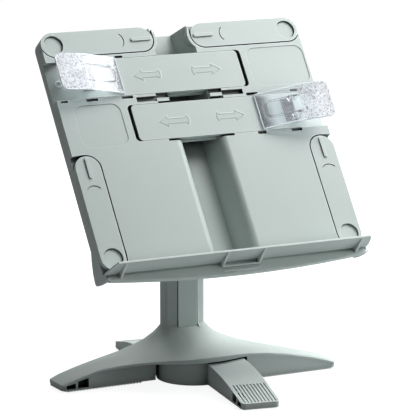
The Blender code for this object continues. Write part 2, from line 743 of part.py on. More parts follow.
for name, (low, high, side, inner) in bars.items():
    hand = "left" if side < 0.0 else "right"
    middle = 0.5 * (low + high)
    line = [(side * distance, height) for distance, height in clip_line]
    pivot = (side * clip_pivot, middle, clip_pivot_height)
    lever = piece(hand + "_clip_lever", "clear",
                  prism(strip_section(line, clip_thickness), "y", middle - clip_half_width,
                        middle + clip_half_width), panel_axes, pivot)
    # the pad end is narrower, with round corners
    for sign, label in ((-1.0, "low"), (1.0, "high")):
        edge = middle + sign * clip_half_width
        pad_edge = middle + sign * clip_pad_half_width
        chamfer = clip_half_width - clip_pad_half_width
        trim = [(side * clip_pad_start, edge + sign * overrun), (side * clip_pad_start, edge),
                (side * (clip_pad_start + chamfer), pad_edge),
                (side * (bar_outer_end - chamfer), pad_edge),
                (side * bar_outer_end, pad_edge - sign * chamfer),
                (side * (bar_outer_end + overrun), pad_edge - sign * chamfer),
                (side * (bar_outer_end + overrun), edge + sign * overrun)]
        cut(lever, prism(trim, "z", -overrun, clip_line[-1][1] + clip_thickness + overrun), "trim_" + label)
    # slot around the spring tongue, open towards the pad
    near, far = clip_tongue_start, clip_tongue_end
    half, slot = clip_tongue_half_width, clip_tongue_slot
    tongue = [(side * far, middle + half), (side * near, middle + half), (side * near, middle - half),
              (side * far, middle - half), (side * far, middle - half + slot),
              (side * (near + slot), middle - half + slot), (side * (near + slot), middle + half - slot),
              (side * far, middle + half - slot)]
    cut(lever, prism(tongue, "z", -overrun, clip_line[-1][1] + clip_thickness + overrun), "tongue_slot")
    # lever ears around the pin, just inside the bracket's ears
    bridge = reading(clip_line, clip_pivot) + slide_gap
    ears = []
    for sign in (-1.0, 1.0):
        inner_face = middle + sign * (clip_ear_q - clip_ear_thickness)
        edges = sorted((inner_face, inner_face - sign * clip_ear_thickness))
        radius = clip_ear_radius
        shape = arc((side * clip_pivot, clip_pivot_height), radius, -math.pi, 0.0, 2 * quarter_steps)
        shape += [(side * clip_pivot + radius, bridge), (side * clip_pivot - radius, bridge)]
        ears.append(prism(shape, "y", edges[0], edges[1]))
    for index, ear in enumerate(ears):
        add(lever, ear, "ear_%d" % index)
    reach = clip_ear_q + overrun
    bore = prism(circle((side * clip_pivot, clip_pivot_height), clip_pin_bore), "y", middle - reach,
                 middle + reach)
    cut(lever, bore, "pin_bore")

    foot_ends = sorted((side * (clip_pivot - clip_base_length * 0.5), side * (clip_pivot + clip_ear_radius)))
    foot_z = still_gap
    base = piece(hand + "_clip_bracket", "clear",
                 prism(box_outline((foot_ends[0], middle - clip_ear_q), (foot_ends[1], middle + clip_ear_q)),
                       "z", foot_z, foot_z + clip_base_thickness), panel_axes)
    for index, sign in enumerate((-1.0, 1.0)):
        outer_face = middle + sign * clip_ear_q
        edges = sorted((outer_face, outer_face - sign * (clip_ear_thickness - slide_gap)))
        radius = clip_ear_radius - slide_gap
        shape = arc((side * clip_pivot, clip_pivot_height), radius, 0.0, math.pi, 2 * quarter_steps)
        shape += [(side * clip_pivot - radius, foot_z), (side * clip_pivot + radius, foot_z)]
        add(base, prism(shape, "y", edges[0], edges[1]), "ear_%d" % index)
    add(base, prism(circle((side * clip_pivot, middle), cover_screw_radius), "z",
                    -clip_base_thickness + still_gap, foot_z + still_gap), "peg")
    cut(base, bore, "pin_bore")
    pin_end = clip_ear_q - still_gap
    piece(hand + "_clip_pin", "steel",
          prism(circle((side * clip_pivot, clip_pivot_height), clip_pin_radius), "y", middle - pin_end,
                middle + pin_end), panel_axes)


# Ledge

rings = []
for station in ledge_stations:
    bow = ledge_belly * (1.0 - station ** 2)
    rings.append([(station * ledge_half_length, q - bow * share, n) for n, q, share in ledge_section])
ledge = piece("book_ledge", "sage", loft(rings), panel_axes, (0.0, *rod_place), True)
for side, name in ((-1.0, "left"), (1.0, "right")):
    # the ends taper towards the tip and pass between the cheeks behind the panel's face
    taper = [(side * (ledge_half_length - inset), n) for inset, n in ledge_end_line]
    taper.append((side * (ledge_half_length + overrun), ledge_tip + overrun))
    taper.append((side * (ledge_half_length + overrun), -panel_depth))
    cut(ledge, prism(taper, "y", -ledge_rod_drop - ledge_rod_drop, panel_foot), "taper_" + name)
gusset_end = ledge_half_length - gusset_end_inset
gusset_shape = [(q, n) for n, q in gusset_outline]
gussets = [prism(gusset_shape, "x", s - gusset_half_thickness, s + gusset_half_thickness)
           for s in (-gusset_end, -gusset_middle, gusset_middle, gusset_end)]
add(ledge, joined(gussets), "gussets")
ribs = [prism(box_outline((q - rib_half_thickness, rib_back), (q + rib_half_thickness, rib_front)), "x",
              -gusset_middle, gusset_middle) for q in rib_places]
add(ledge, joined(ribs), "ribs")
cut(ledge, prism(circle(rod_place, ledge_rod_bore), "x", -ledge_half_length,
                 ledge_half_length), "rod_bore")
rod_end = panel_half_width - panel_wall + overrun - still_gap
piece("ledge_rod", "steel", prism(circle(rod_place, ledge_rod_radius), "x", -rod_end, rod_end), panel_axes)


# Back covers and their screws

for side, name in ((-1.0, "left"), (1.0, "right")):
    edges = sorted((side * cover_inner_s, side * (panel_half_width - panel_wall - still_gap)))
    back = -panel_floor - still_gap
    outline = rounded_box((edges[0], panel_foot + panel_wall + still_gap),
                          (edges[1], panel_top - panel_wall - still_gap),
                          (0.0, 0.0, corner if side > 0.0 else 0.0, corner if side < 0.0 else 0.0))
    cover = piece("back_cover_" + name, "sage", prism(outline, "z", back - cover_thickness, back), panel_axes)
    pin_rooms = [prism(circle(place[0], pin_radius + swing_gap), "z", back - cover_thickness - overrun,
                       back + overrun) for place in arm_places.values() if place[0][0] * side > 0.0]
    cut(cover, joined(pin_rooms), "pin_rooms")
    screw_rooms = [prism(circle((side * cover_screw_s, q), cover_screw_shank + still_gap), "z",
                         back - cover_thickness - overrun, back + overrun) for q in cover_screw_q]
    cut(cover, joined(screw_rooms), "screw_rooms")
    for q, label in zip(cover_screw_q, ("low", "high")):
        place = (side * cover_screw_s, q)
        top = back - cover_thickness - still_gap
        screw = piece("cover_screw_%s_%s" % (name, label), "steel",
                      prism(circle(place, cover_screw_radius), "z", top - cover_screw_head, top), panel_axes)
        tip = -panel_floor + cover_screw_depth - still_gap
        add(screw, prism(circle(place, cover_screw_shank), "z", top - still_gap, tip), "shank")


# Tilt joint: bracket on the channel's back, bolt, washers, knob

plate_top = -channel_back - still_gap
plate_back = plate_top - tilt_plate_thickness
bracket = piece("tilt_bracket", "steel",
                prism(rounded_box((-tilt_plate_half_width, tilt_q - tilt_plate_half_length),
                                  (tilt_plate_half_width, tilt_q + tilt_plate_half_length),
                                  [tilt_plate_thickness] * 4), "z", plate_back, plate_top),
                panel_axes)
for side, name in ((-1.0, "left"), (1.0, "right")):
    outer = side * tilt_plate_half_width
    edges = sorted((outer, outer - side * tilt_ear_thickness))
    ear = arc((tilt_q, -tilt_back), tilt_ear_radius, math.pi, math.tau, 2 * quarter_steps)
    ear += [(tilt_q + tilt_ear_radius, plate_back + still_gap),
            (tilt_q - tilt_ear_radius, plate_back + still_gap)]
    add(bracket, prism(ear, "x", edges[0], edges[1]), "ear_" + name)
wide = tilt_plate_half_width + overrun
cut(bracket, prism(circle((tilt_q, -tilt_back), tilt_bolt_bore), "x", -wide, wide), "bolt_bore")
cut(bracket, joined([prism(circle((0.0, q), bracket_screw_radius + still_gap), "z", plate_back - overrun,
                           plate_top + overrun) for q in bracket_screw_q]), "screw_holes")
for q, label in zip(bracket_screw_q, ("low", "high")):
    bottom = -channel_depth + still_gap
    screw = piece("bracket_screw_" + label, "steel",
                  prism(circle((0.0, q), bracket_screw_head_radius), "z", bottom,
                        bottom + bracket_screw_head), panel_axes)
    add(screw, prism(circle((0.0, q), bracket_screw_radius), "z", bottom - bracket_screw_length,
                     bottom + still_gap), "shank")

# the bolt, the washers and the knob stay on the post, so they are built in world axes
sin_tilt, cos_tilt = math.sin(panel_tilt), math.cos(panel_tilt)
tilt_y = panel_origin[1] + tilt_q * sin_tilt + tilt_back * cos_tilt
tilt_z = panel_origin[2] + tilt_q * cos_tilt - tilt_back * sin_tilt
tilt_place = (tilt_y, tilt_z)
ear_inner = tilt_plate_half_width - tilt_ear_thickness
tongue_half = ear_inner - slide_gap - tilt_washer_thickness - still_gap
bolt_start = -tilt_plate_half_width - slide_gap
knob_start = tilt_plate_half_width + slide_gap
bolt = piece("tilt_bolt", "steel",
             prism(circle(tilt_place, tilt_bolt_head_radius, 6), "x", bolt_start - tilt_bolt_head,
                   bolt_start))
add(bolt, prism(circle(tilt_place, tilt_bolt_radius), "x", bolt_start - still_gap,
                knob_start + tilt_knob_length - tilt_plate_thickness), "shank")
for side, name in ((-1.0, "left"), (1.0, "right")):
    near = tongue_half + still_gap
    edges = sorted((side * near, side * (near + tilt_washer_thickness)))
    washer = piece("tilt_washer_" + name, "steel", prism(circle(tilt_place, tilt_washer_radius), "x",
                                                         edges[0], edges[1]))
    cut(washer, prism(circle(tilt_place, tilt_bolt_bore), "x", edges[0] - overrun, edges[1] + overrun),
        "bore")
knob = piece("tilt_knob", "sage",
             prism(lobed(tilt_place, tilt_knob_radius), "x", knob_start, knob_start + tilt_knob_length),
             None, (0.0, tilt_y, tilt_z))
cut(knob, prism(circle(tilt_place, tilt_bolt_bore), "x", knob_start - overrun,
                knob_start + tilt_knob_length - tilt_plate_thickness + still_gap), "bore")


# Post

column_centre = (0.0, column_y)
post_half_width = column_half_width - column_wall - slide_gap
post_half_depth = column_half_depth - column_wall - slide_gap
post = piece("inner_post", "sage",
             prism(oval(column_centre, post_half_width, post_half_depth), "z", post_bottom, post_shoulder))
neck = box_outline((column_y - post_neck_half_depth, post_shoulder - post_cap),
                   (column_y + post_neck_half_depth, tilt_z))
add(post, prism(neck, "x", -tongue_half, tongue_half), "neck")
add(post, prism(circle(tilt_place, post_head_radius), "x", -tongue_half, tongue_half), "head")
cut(post, prism(circle(tilt_place, tilt_bolt_bore), "x", -tongue_half - overrun, tongue_half + overrun),
    "bolt_bore")
cut(post, prism(oval(column_centre, post_half_width - post_wall, post_half_depth - post_wall), "z",
                post_bottom - overrun, post_shoulder - post_cap), "hollow")


# Base cover with the column, one moulding

def rim_outline():
    # near side from the left leg's tip to the right leg, then the same turned by 180 degrees
    tip = leg_tip + leg_reveal
    near, far = leg_near - leg_reveal, leg_far + leg_reveal
    half = []
    half += arc((-tip + leg_tip_corner, far - leg_tip_corner), leg_tip_corner, 0.5 * math.pi, math.pi, 3)
    half += arc((-tip + leg_tip_corner, near + leg_tip_corner), leg_tip_corner, math.pi, 1.5 * math.pi, 3)
    half += list(rim_line)
    for share in rim_leg_shares:
        half.append((leg_inner_end + (tip - leg_inner_end) * share, -far))
    return half + [(-x, -y) for x, y in half]


def across_leg(x, y):
    # 0 on the leg's middle line, 1 at its flanks
    leg_middle = 0.5 * (leg_near + leg_far)
    offset = (y - leg_middle) if x < 0.0 else (y + leg_middle)
    return abs(offset) / (0.5 * (leg_far - leg_near))


def cover_height(x, y):
    # leg profile with a crown across the leg, plus the flare up to the column
    across = min(across_leg(x, y), 1.0)
    crown = leg_crown * (1.0 - across ** 2) * min(abs(x) / leg_inner_end, 1.0)
    base = reading(leg_heights, abs(x)) + crown
    away = math.hypot(x / column_half_width, (y - column_y) / column_half_depth)
    reach = math.hypot(x, y - column_y)
    distance = max(reach - reach / max(away, 1.0), 0.0)
    return base + (column_root - base) * math.exp(-distance / flare_reach)


outline = rim_outline()
column_ring = []
for x, y in outline:
    angle = math.atan2(y, x)
    column_ring.append((column_half_width * math.cos(angle), column_y + column_half_depth * math.sin(angle)))
bore_ring = [(x * (column_half_width - column_wall) / column_half_width,
              column_y + (y - column_y) * (column_half_depth - column_wall) / column_half_depth)
             for x, y in column_ring]


waist_ring = []
for x, y in outline:
    share = min(cover_waist_inset_share, cover_waist_reach / max(abs(x), cover_edge_round))
    waist_ring.append((x * share, y * share))


def between(first, second, share):
    return (first[0] + (second[0] - first[0]) * share, first[1] + (second[1] - first[1]) * share)


def under_side(x, y):
    # thin where the feet swing below, thick over the legs
    on_band = min(max((band_edge_share - across_leg(x, y)) / band_blend_share, 0.0), 1.0)
    past_end = min(max((abs(x) - leg_inner_end) / leg_sheet_reach, 0.0), 1.0)
    sheet = rim_sheet + (leg_sheet - rim_sheet) * on_band * past_end
    return min(rim_bottom, cover_height(x, y) - sheet)


def ring_between(first_ring, second_ring, share, height):
    flat = [between(first, second, share) for first, second in zip(first_ring, second_ring)]
    return [(x, y, height(x, y)) for x, y in flat]


def edge_height(x, y):
    return cover_height(x, y) - cover_edge_round


rings = [ring_between(bore_ring, waist_ring, 0.0, under_side)]
rings.append(ring_between(bore_ring, waist_ring, hub_clear_share, under_side))
rings.append(ring_between(bore_ring, waist_ring, 1.0, under_side))
for share in reversed(leg_ring_shares[1:]):
    rings.append(ring_between(outline, waist_ring, share, under_side))
rings.append(ring_between(outline, waist_ring, 0.0, under_side))
rings.append(ring_between(outline, waist_ring, 0.0, edge_height))
for share in leg_ring_shares:
    rings.append(ring_between(outline, waist_ring, share, cover_height))
for share in flare_ring_shares:
    rings.append(ring_between(waist_ring, column_ring, share, cover_height))
rings.append([(x, y, column_root) for x, y in column_ring])
rings.append([(x, y, column_top) for x, y in column_ring])
rings.append([(x, y, column_top) for x, y in bore_ring])
verts, faces = loft(rings)
faces = faces[:-2]
count = len(outline)
last = (len(rings) - 1) * count
for step in range(count):
    following = (step + 1) % count
    faces.append((last + step, last + following, following, step))
base_cover = piece("base_cover", "sage", (verts, faces), curved=True)

for side, name in ((-1.0, "left"), (1.0, "right")):
    ends = sorted((side * leg_inner_end, side * leg_tip))
    sides = sorted((-side * leg_near, -side * leg_far))
    steps = [leg_inner_end + (leg_tip - leg_inner_end) * step / 8 for step in range(9)]
    profile = [(side * place, reading(leg_heights, place) - leg_depth_under_cover) for place in steps]
    profile += [(side * leg_tip, leg_ground), (side * leg_inner_end, leg_ground)]
    left_radius = leg_tip_corner if side < 0.0 else 0.0
    right_radius = leg_tip_corner - left_radius
    plan = rounded_box((ends[0], sides[0]), (ends[1], sides[1]),
                       (left_radius, right_radius, right_radius, left_radius))
    leg = mesh_object("leg_plan_" + name, prism(plan, "z", leg_ground - overrun, column_root), cutters)
    leg_body = mesh_object("leg_body_" + name, prism(profile, "y", sides[0] - overrun, sides[1] + overrun),
                           cutters)
    for helper in (leg, leg_body):
        helper.hide_render = True
        helper.display_type = "WIRE"
    trim = leg_body.modifiers.new("plan", "BOOLEAN")
    trim.operation = "INTERSECT"
    trim.solver = "EXACT"
    trim.object = leg
    union = base_cover.modifiers.new("leg_" + name, "BOOLEAN")
    union.operation = "UNION"
    union.solver = "EXACT"
    union.object = leg_body
    # hollow from below
    low_y, high_y = sides[0] + shell_wall, sides[1] - shell_wall
    roof = [(side * place, reading(leg_heights, place) - hollow_roof) for place in (hollow_start, hollow_end)]
    shape = roof + [(side * hollow_end, -overrun), (side * hollow_start, -overrun)]
    cut(base_cover, prism(shape, "y", low_y, high_y), "hollow_" + name)
    # windows in the flank beside the folded foot
    flank = -side * leg_near
    for index, (start, end, low, high) in enumerate(window_cuts):
        places = sorted((side * (leg_tip - start), side * (leg_tip - end)))
        deep = sorted((flank + side * (leg_reveal + overrun), flank - side * window_depth))
        shape = [(side * (leg_tip - start), low), (side * (leg_tip - end), low),
                 (side * (leg_tip - end), high), (side * (leg_tip - start), high * window_rise_share)]
        cut(base_cover, prism(shape, "y", deep[0], deep[1]), "window_%s_%d" % (name, index))

slot_half = strip_half_width + strip_side_gap
cut(base_cover, prism(box_outline((-slot_half, column_y - column_half_depth - overrun),
                                  (slot_half, column_y - strip_front + strip_thickness + still_gap)), "z",
                      strip_bottom - still_gap, strip_top + still_gap), "strip_bed")
seam_middle = (-column_half_width * math.cos(seam_angle), column_y - column_half_depth * math.sin(seam_angle))
seam_normal = math.atan2(math.sin(seam_angle) * column_half_width, math.cos(seam_angle) * column_half_depth)
seam = box_outline((seam_middle[0] - overrun, seam_middle[1] - seam_half_width),
                   (seam_middle[0] + seam_depth, seam_middle[1] + seam_half_width))
cut(base_cover, prism(turned(seam, seam_normal, seam_middle), "z", column_root, column_top + overrun), "seam")
clamp_place = (0.0, clamp_z)
column_back = column_y + column_half_depth
add(base_cover, prism(circle(clamp_place, clamp_boss_radius), "y", column_back - column_wall * 0.5,
                      clamp_boss_back), "clamp_boss")
cut(base_cover, prism(circle(clamp_place, clamp_stud_radius + still_gap), "y", column_y,
                      clamp_boss_back + overrun), "clamp_hole")
insert_start = clamp_boss_back - clamp_insert_length
cut(base_cover, prism(circle(clamp_place, clamp_insert_radius + still_gap), "y", insert_start - still_gap,
                      clamp_boss_back + overrun), "insert_seat")
cut(base_cover, prism(circle((0.0, 0.0), pivot_screw_radius + still_gap), "z", rim_bottom - overrun,
                      pivot_screw_top + still_gap), "pivot_hole")

strip_y = column_y - strip_front
strip = piece("column_strip", "sage",
              prism(rounded_box((-strip_half_width, strip_y), (strip_half_width, strip_y + strip_thickness),
                                (strip_left_round, strip_right_round, 0.0, 0.0)),
                    "z", strip_bottom, strip_top))
mark = [(-strip_mark_size, strip_mark_z + strip_mark_size), (strip_mark_size, strip_mark_z + strip_mark_size),
        (0.0, strip_mark_z - strip_mark_size)]
add(strip, prism(mark, "y", strip_y - strip_mark_height, strip_y + strip_mark_height), "mark")

collar = piece("guide_collar", "dark",
               prism(oval(column_centre, column_half_width + collar_brim, column_half_depth + collar_brim),
                     "z", column_top + still_gap, column_top + collar_height))
cut(collar, prism(oval(column_centre, post_half_width + still_gap, post_half_depth + still_gap), "z",
                  column_top - overrun, column_top + collar_height + overrun), "opening")

insert = piece("clamp_insert", "brass", prism(circle(clamp_place, clamp_insert_radius), "y", insert_start,
                                              clamp_boss_back))
cut(insert, prism(circle(clamp_place, clamp_insert_bore), "y", insert_start - overrun,
                  clamp_boss_back + overrun), "bore")
post_back = column_y + post_half_depth
pad_start = post_back + still_gap
pad_end = pad_start + clamp_pad_thickness
piece("clamp_pad", "dark", prism(circle(clamp_place, clamp_stud_radius - still_gap), "y", pad_start, pad_end))
knob_y = clamp_boss_back + swing_gap
clamp = piece("clamp_knob", "sage", prism(lobed(clamp_place, clamp_knob_radius), "y", knob_y,
                                          knob_y + clamp_knob_length), None, (0.0, knob_y, clamp_z))
add(clamp, prism(circle(clamp_place, clamp_stud_radius), "y", pad_end + still_gap, knob_y + still_gap),
    "stud")


# Cross bar: each foot is drawn along -Y from the hub, then turned

across_low, across_high = foot_offset, foot_offset + foot_width
cross_bar = piece("cross_bar", "sage", prism(circle((0.0, 0.0), hub_radius, 10 * quarter_steps), "z",
                                             hub_bottom, hub_top))
for turn, name in ((-foot_turn, "front"), (math.pi - foot_turn, "back")):
    plan = rounded_box((across_low, -foot_length), (across_high, 0.0),
                       (foot_tip_corner, foot_tip_corner, foot_root_corner, 0.0))
    plan[-1] = (across_low - foot_taper, 0.0)
    plan_helper = mesh_object("foot_plan_" + name, prism(turned(plan, turn), "z", foot_ground - overrun,
                                                         column_root), cutters)
    profile = [(-place, height) for place, height in foot_heights]
    profile += [(-foot_length, foot_ground), (0.0, foot_ground)]
    body_verts, body_faces = prism(profile, "x", across_low - foot_taper - overrun, across_high + overrun)
    spun = [(*turned([(x, y)], turn)[0], z) for x, y, z in body_verts]
    foot_helper = mesh_object("foot_body_" + name, (spun, body_faces), cutters)
    for helper in (plan_helper, foot_helper):
        helper.hide_render = True
        helper.display_type = "WIRE"
    trim = foot_helper.modifiers.new("plan", "BOOLEAN")
    trim.operation = "INTERSECT"
    trim.solver = "EXACT"
    trim.object = plan_helper
    union = cross_bar.modifiers.new("foot_" + name, "BOOLEAN")
    union.operation = "UNION"
    union.solver = "EXACT"
    union.object = foot_helper
    # lengthwise grooves over the tip
    pitch = (foot_width - groove_margin - groove_margin) / (groove_count - 1)
    places = [groove_start + (groove_end - groove_start) * step / 3 for step in range(4)]
    floor_line = [(-place, reading(foot_heights, place) - groove_depth) for place in places]
    roof_line = [(y, z + groove_depth + overrun) for y, z in reversed(floor_line)]
    grooves = []
    for index in range(groove_count):
        centre = across_low + groove_margin + pitch * index
        verts, faces = prism(floor_line + roof_line, "x", centre - groove_width * 0.5,
                             centre + groove_width * 0.5)
        grooves.append(([(*turned([(x, y)], turn)[0], z) for x, y, z in verts], faces))
    cut(cross_bar, joined(grooves), "grooves_" + name)
    for index, (start, end, low, high) in enumerate(window_cuts):
        shape = [(-(foot_length - start), low), (-(foot_length - end), low),
                 (-(foot_length - end), high), (-(foot_length - start), high * window_rise_share)]
        verts, faces = prism(shape, "x", across_low - overrun, across_low + window_depth)
        spun = [(*turned([(x, y)], turn)[0], z) for x, y, z in verts]
        cut(cross_bar, (spun, faces), "window_%s_%d" % (name, index))
    # hollow from below
    roof = [(-place, reading(foot_heights, place) - hollow_roof) for place in (hollow_start, hollow_end)]
    shape = roof + [(-hollow_end, -overrun), (-hollow_start, -overrun)]
    verts, faces = prism(shape, "x", across_low + shell_wall, across_high - shell_wall)
    spun = [(*turned([(x, y)], turn)[0], z) for x, y, z in verts]
    cut(cross_bar, (spun, faces), "hollow_" + name)
# four hollows under the hub, between the pivot's well and the wall
sectors = []
for quarter in range(4):
    start = 0.5 * math.pi * quarter + hub_rib_angle
    end = 0.5 * math.pi * (quarter + 1) - hub_rib_angle
    sector = arc((0.0, 0.0), hub_radius - shell_wall, start, end)
    sector += arc((0.0, 0.0), hub_hollow_inner, end, start)
    sectors.append(prism(sector, "z", -overrun, hub_hollow_roof))
cut(cross_bar, joined(sectors), "hub_hollows")
cut(cross_bar, prism(circle((0.0, 0.0), pivot_screw_bore), "z", -overrun, hub_top + overrun), "pivot_bore")
well_top = pivot_head_z + pivot_head_height + pivot_washer_thickness + slide_gap + slide_gap
cut(cross_bar, prism(circle((0.0, 0.0), pivot_well_radius), "z", -overrun, well_top), "pivot_well")

pivot_screw = piece("pivot_screw", "steel", prism(circle((0.0, 0.0), pivot_head_radius), "z", pivot_head_z,
                                                  pivot_head_z + pivot_head_height))
add(pivot_screw, prism(circle((0.0, 0.0), pivot_screw_radius), "z",
                       pivot_head_z + pivot_head_height - still_gap, pivot_screw_top), "shank")
washer_z = pivot_head_z + pivot_head_height + slide_gap
pivot_washer = piece("pivot_washer", "steel", prism(circle((0.0, 0.0), pivot_washer_radius), "z", washer_z,
                                                    washer_z + pivot_washer_thickness))
cut(pivot_washer, prism(circle((0.0, 0.0), pivot_screw_bore), "z", washer_z - overrun,
                        washer_z + pivot_washer_thickness + overrun), "bore")


# Soles: ribbed pads under the four tips

def sole_profile():
    # (along, z) comb, along grows from the tip inward
    points = [(0.0, sole_thickness), (0.0, 0.0)]
    for index in range(sole_rib_count):
        start = sole_pitch * index
        points += [(start + sole_pitch * 0.5, 0.0), (start + sole_pitch * 0.5, sole_rib)]
        if index < sole_rib_count - 1:
            points += [(start + sole_pitch, sole_rib), (start + sole_pitch, 0.0)]
        else:
            points += [(start + sole_pitch, sole_rib)]
    points.append((sole_pitch * sole_rib_count, sole_thickness))
    return points


comb = sole_profile()
for side, name in ((-1.0, "left"), (1.0, "right")):
    sides = sorted((-side * (leg_near + sole_margin), -side * (leg_far - sole_margin)))
    shape = [(side * (leg_tip - sole_tip_gap - along), z) for along, z in comb]
    piece("sole_" + name, "rubber", prism(shape, "y", sides[0], sides[1]))
for turn, name in ((-foot_turn, "front"), (math.pi - foot_turn, "back")):
    shape = [(-(foot_length - sole_tip_gap - along), z) for along, z in comb]
    verts, faces = prism(shape, "x", across_low + sole_margin, across_high - sole_margin)
    piece("sole_" + name, "rubber", ([(*turned([(x, y)], turn)[0], z) for x, y, z in verts], faces))
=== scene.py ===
import json
import math

import bmesh
import bpy
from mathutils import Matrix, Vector, noise


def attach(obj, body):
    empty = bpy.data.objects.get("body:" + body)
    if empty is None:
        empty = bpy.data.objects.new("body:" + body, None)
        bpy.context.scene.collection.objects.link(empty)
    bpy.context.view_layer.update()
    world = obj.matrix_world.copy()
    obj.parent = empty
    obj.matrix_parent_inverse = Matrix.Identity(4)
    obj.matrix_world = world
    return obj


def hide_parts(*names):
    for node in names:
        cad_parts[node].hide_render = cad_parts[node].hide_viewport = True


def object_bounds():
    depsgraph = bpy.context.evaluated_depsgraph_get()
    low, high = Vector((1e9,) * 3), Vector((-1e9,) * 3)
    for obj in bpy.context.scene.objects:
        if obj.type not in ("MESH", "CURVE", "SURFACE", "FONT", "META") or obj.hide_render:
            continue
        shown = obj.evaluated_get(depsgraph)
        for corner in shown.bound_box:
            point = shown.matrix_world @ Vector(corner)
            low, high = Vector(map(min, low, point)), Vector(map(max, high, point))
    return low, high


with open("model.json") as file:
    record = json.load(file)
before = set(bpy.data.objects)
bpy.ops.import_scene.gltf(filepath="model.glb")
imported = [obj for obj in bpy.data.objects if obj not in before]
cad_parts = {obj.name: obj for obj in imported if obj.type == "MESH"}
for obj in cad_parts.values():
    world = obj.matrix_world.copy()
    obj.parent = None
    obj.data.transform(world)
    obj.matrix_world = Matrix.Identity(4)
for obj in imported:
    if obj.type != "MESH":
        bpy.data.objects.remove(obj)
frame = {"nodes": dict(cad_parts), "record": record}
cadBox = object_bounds()
nodes = frame["nodes"]
print("frame:", len(nodes), "nodes")


# Small tools

def hexColour(text):
    # an sRGB hex value as linear colour
    channels = [int(text[start:start + 2], 16) / 255.0 for start in (1, 3, 5)]
    linear = [c / 12.92 if c <= 0.04045 else ((c + 0.055) / 1.055) ** 2.4 for c in channels]
    return (*linear, 1.0)


def addNode(tree, kind, settings=None, links=None):
    # settings: attribute names, or input names and numbers; links: input to (node, output)
    node = tree.nodes.new(kind)
    for key, value in (settings or {}).items():
        if isinstance(key, str) and hasattr(node, key):
            setattr(node, key, value)
        else:
            node.inputs[key].default_value = value
    for key, (source, output) in (links or {}).items():
        tree.links.new(source.outputs[output], node.inputs[key])
    return node


def perMetre(sizeMm):
    # texture scale at which one feature is about this large
    return 1000.0 / sizeMm


# Panel axes: s to the right, q up the panel, n out of its face, all in millimetres
panelTilt = math.radians(35.5)
panelFoot = Vector((0.0, -0.0903, 0.1594))
alongPanel = Vector((0.0, math.sin(panelTilt), math.cos(panelTilt)))
outOfPanel = Vector((0.0, -math.cos(panelTilt), math.sin(panelTilt)))


def onPanel(s, q, n):
    return panelFoot + (Vector((s, 0.0, 0.0)) + q * alongPanel + n * outOfPanel) / 1000.0


# Materials

plasticLook = {
    "colour": "#bcc6c3",         # pale sage grey
    "deepColour": "#b5c0bd",
    "grainMm": 0.9,              # real spark grain is near 0.1 mm, drawn coarser so that it shows
    "grainDepthMm": 0.012,
    "grainStrength": 0.6,
    "flowMm": 70.0,              # slow tone changes left by the melt's flow
    "roughness": 0.46,
    "roughnessSpread": 0.05,
    "ior": 1.54,
    "mirrorLevel": 0.5,
    "paintedShadeMm": 9.0,                # reach of the painted shade in gaps and pockets
    "paintedShadeTone": 0.04,             # share of the tone left under the painted shade where gaps are nearly shut
    "paintedShadeShut": 0.12,
    "paintedShadeFull": 0.78,             # how open a place must be to keep its full tone, free of painted shade
    "paintedHighlightMm": 0.9,               # width of the painted highlight along outer edges
    "paintedHighlightStrength": 0.55,
    "paintedHighlightStart": 0.92,           # the painted highlight starts and is full at these shares of solid around it
    "paintedHighlightFull": 0.55,
    "paintedHighlightColour": "#f1f6f4",
    "raySamples": 6,
}


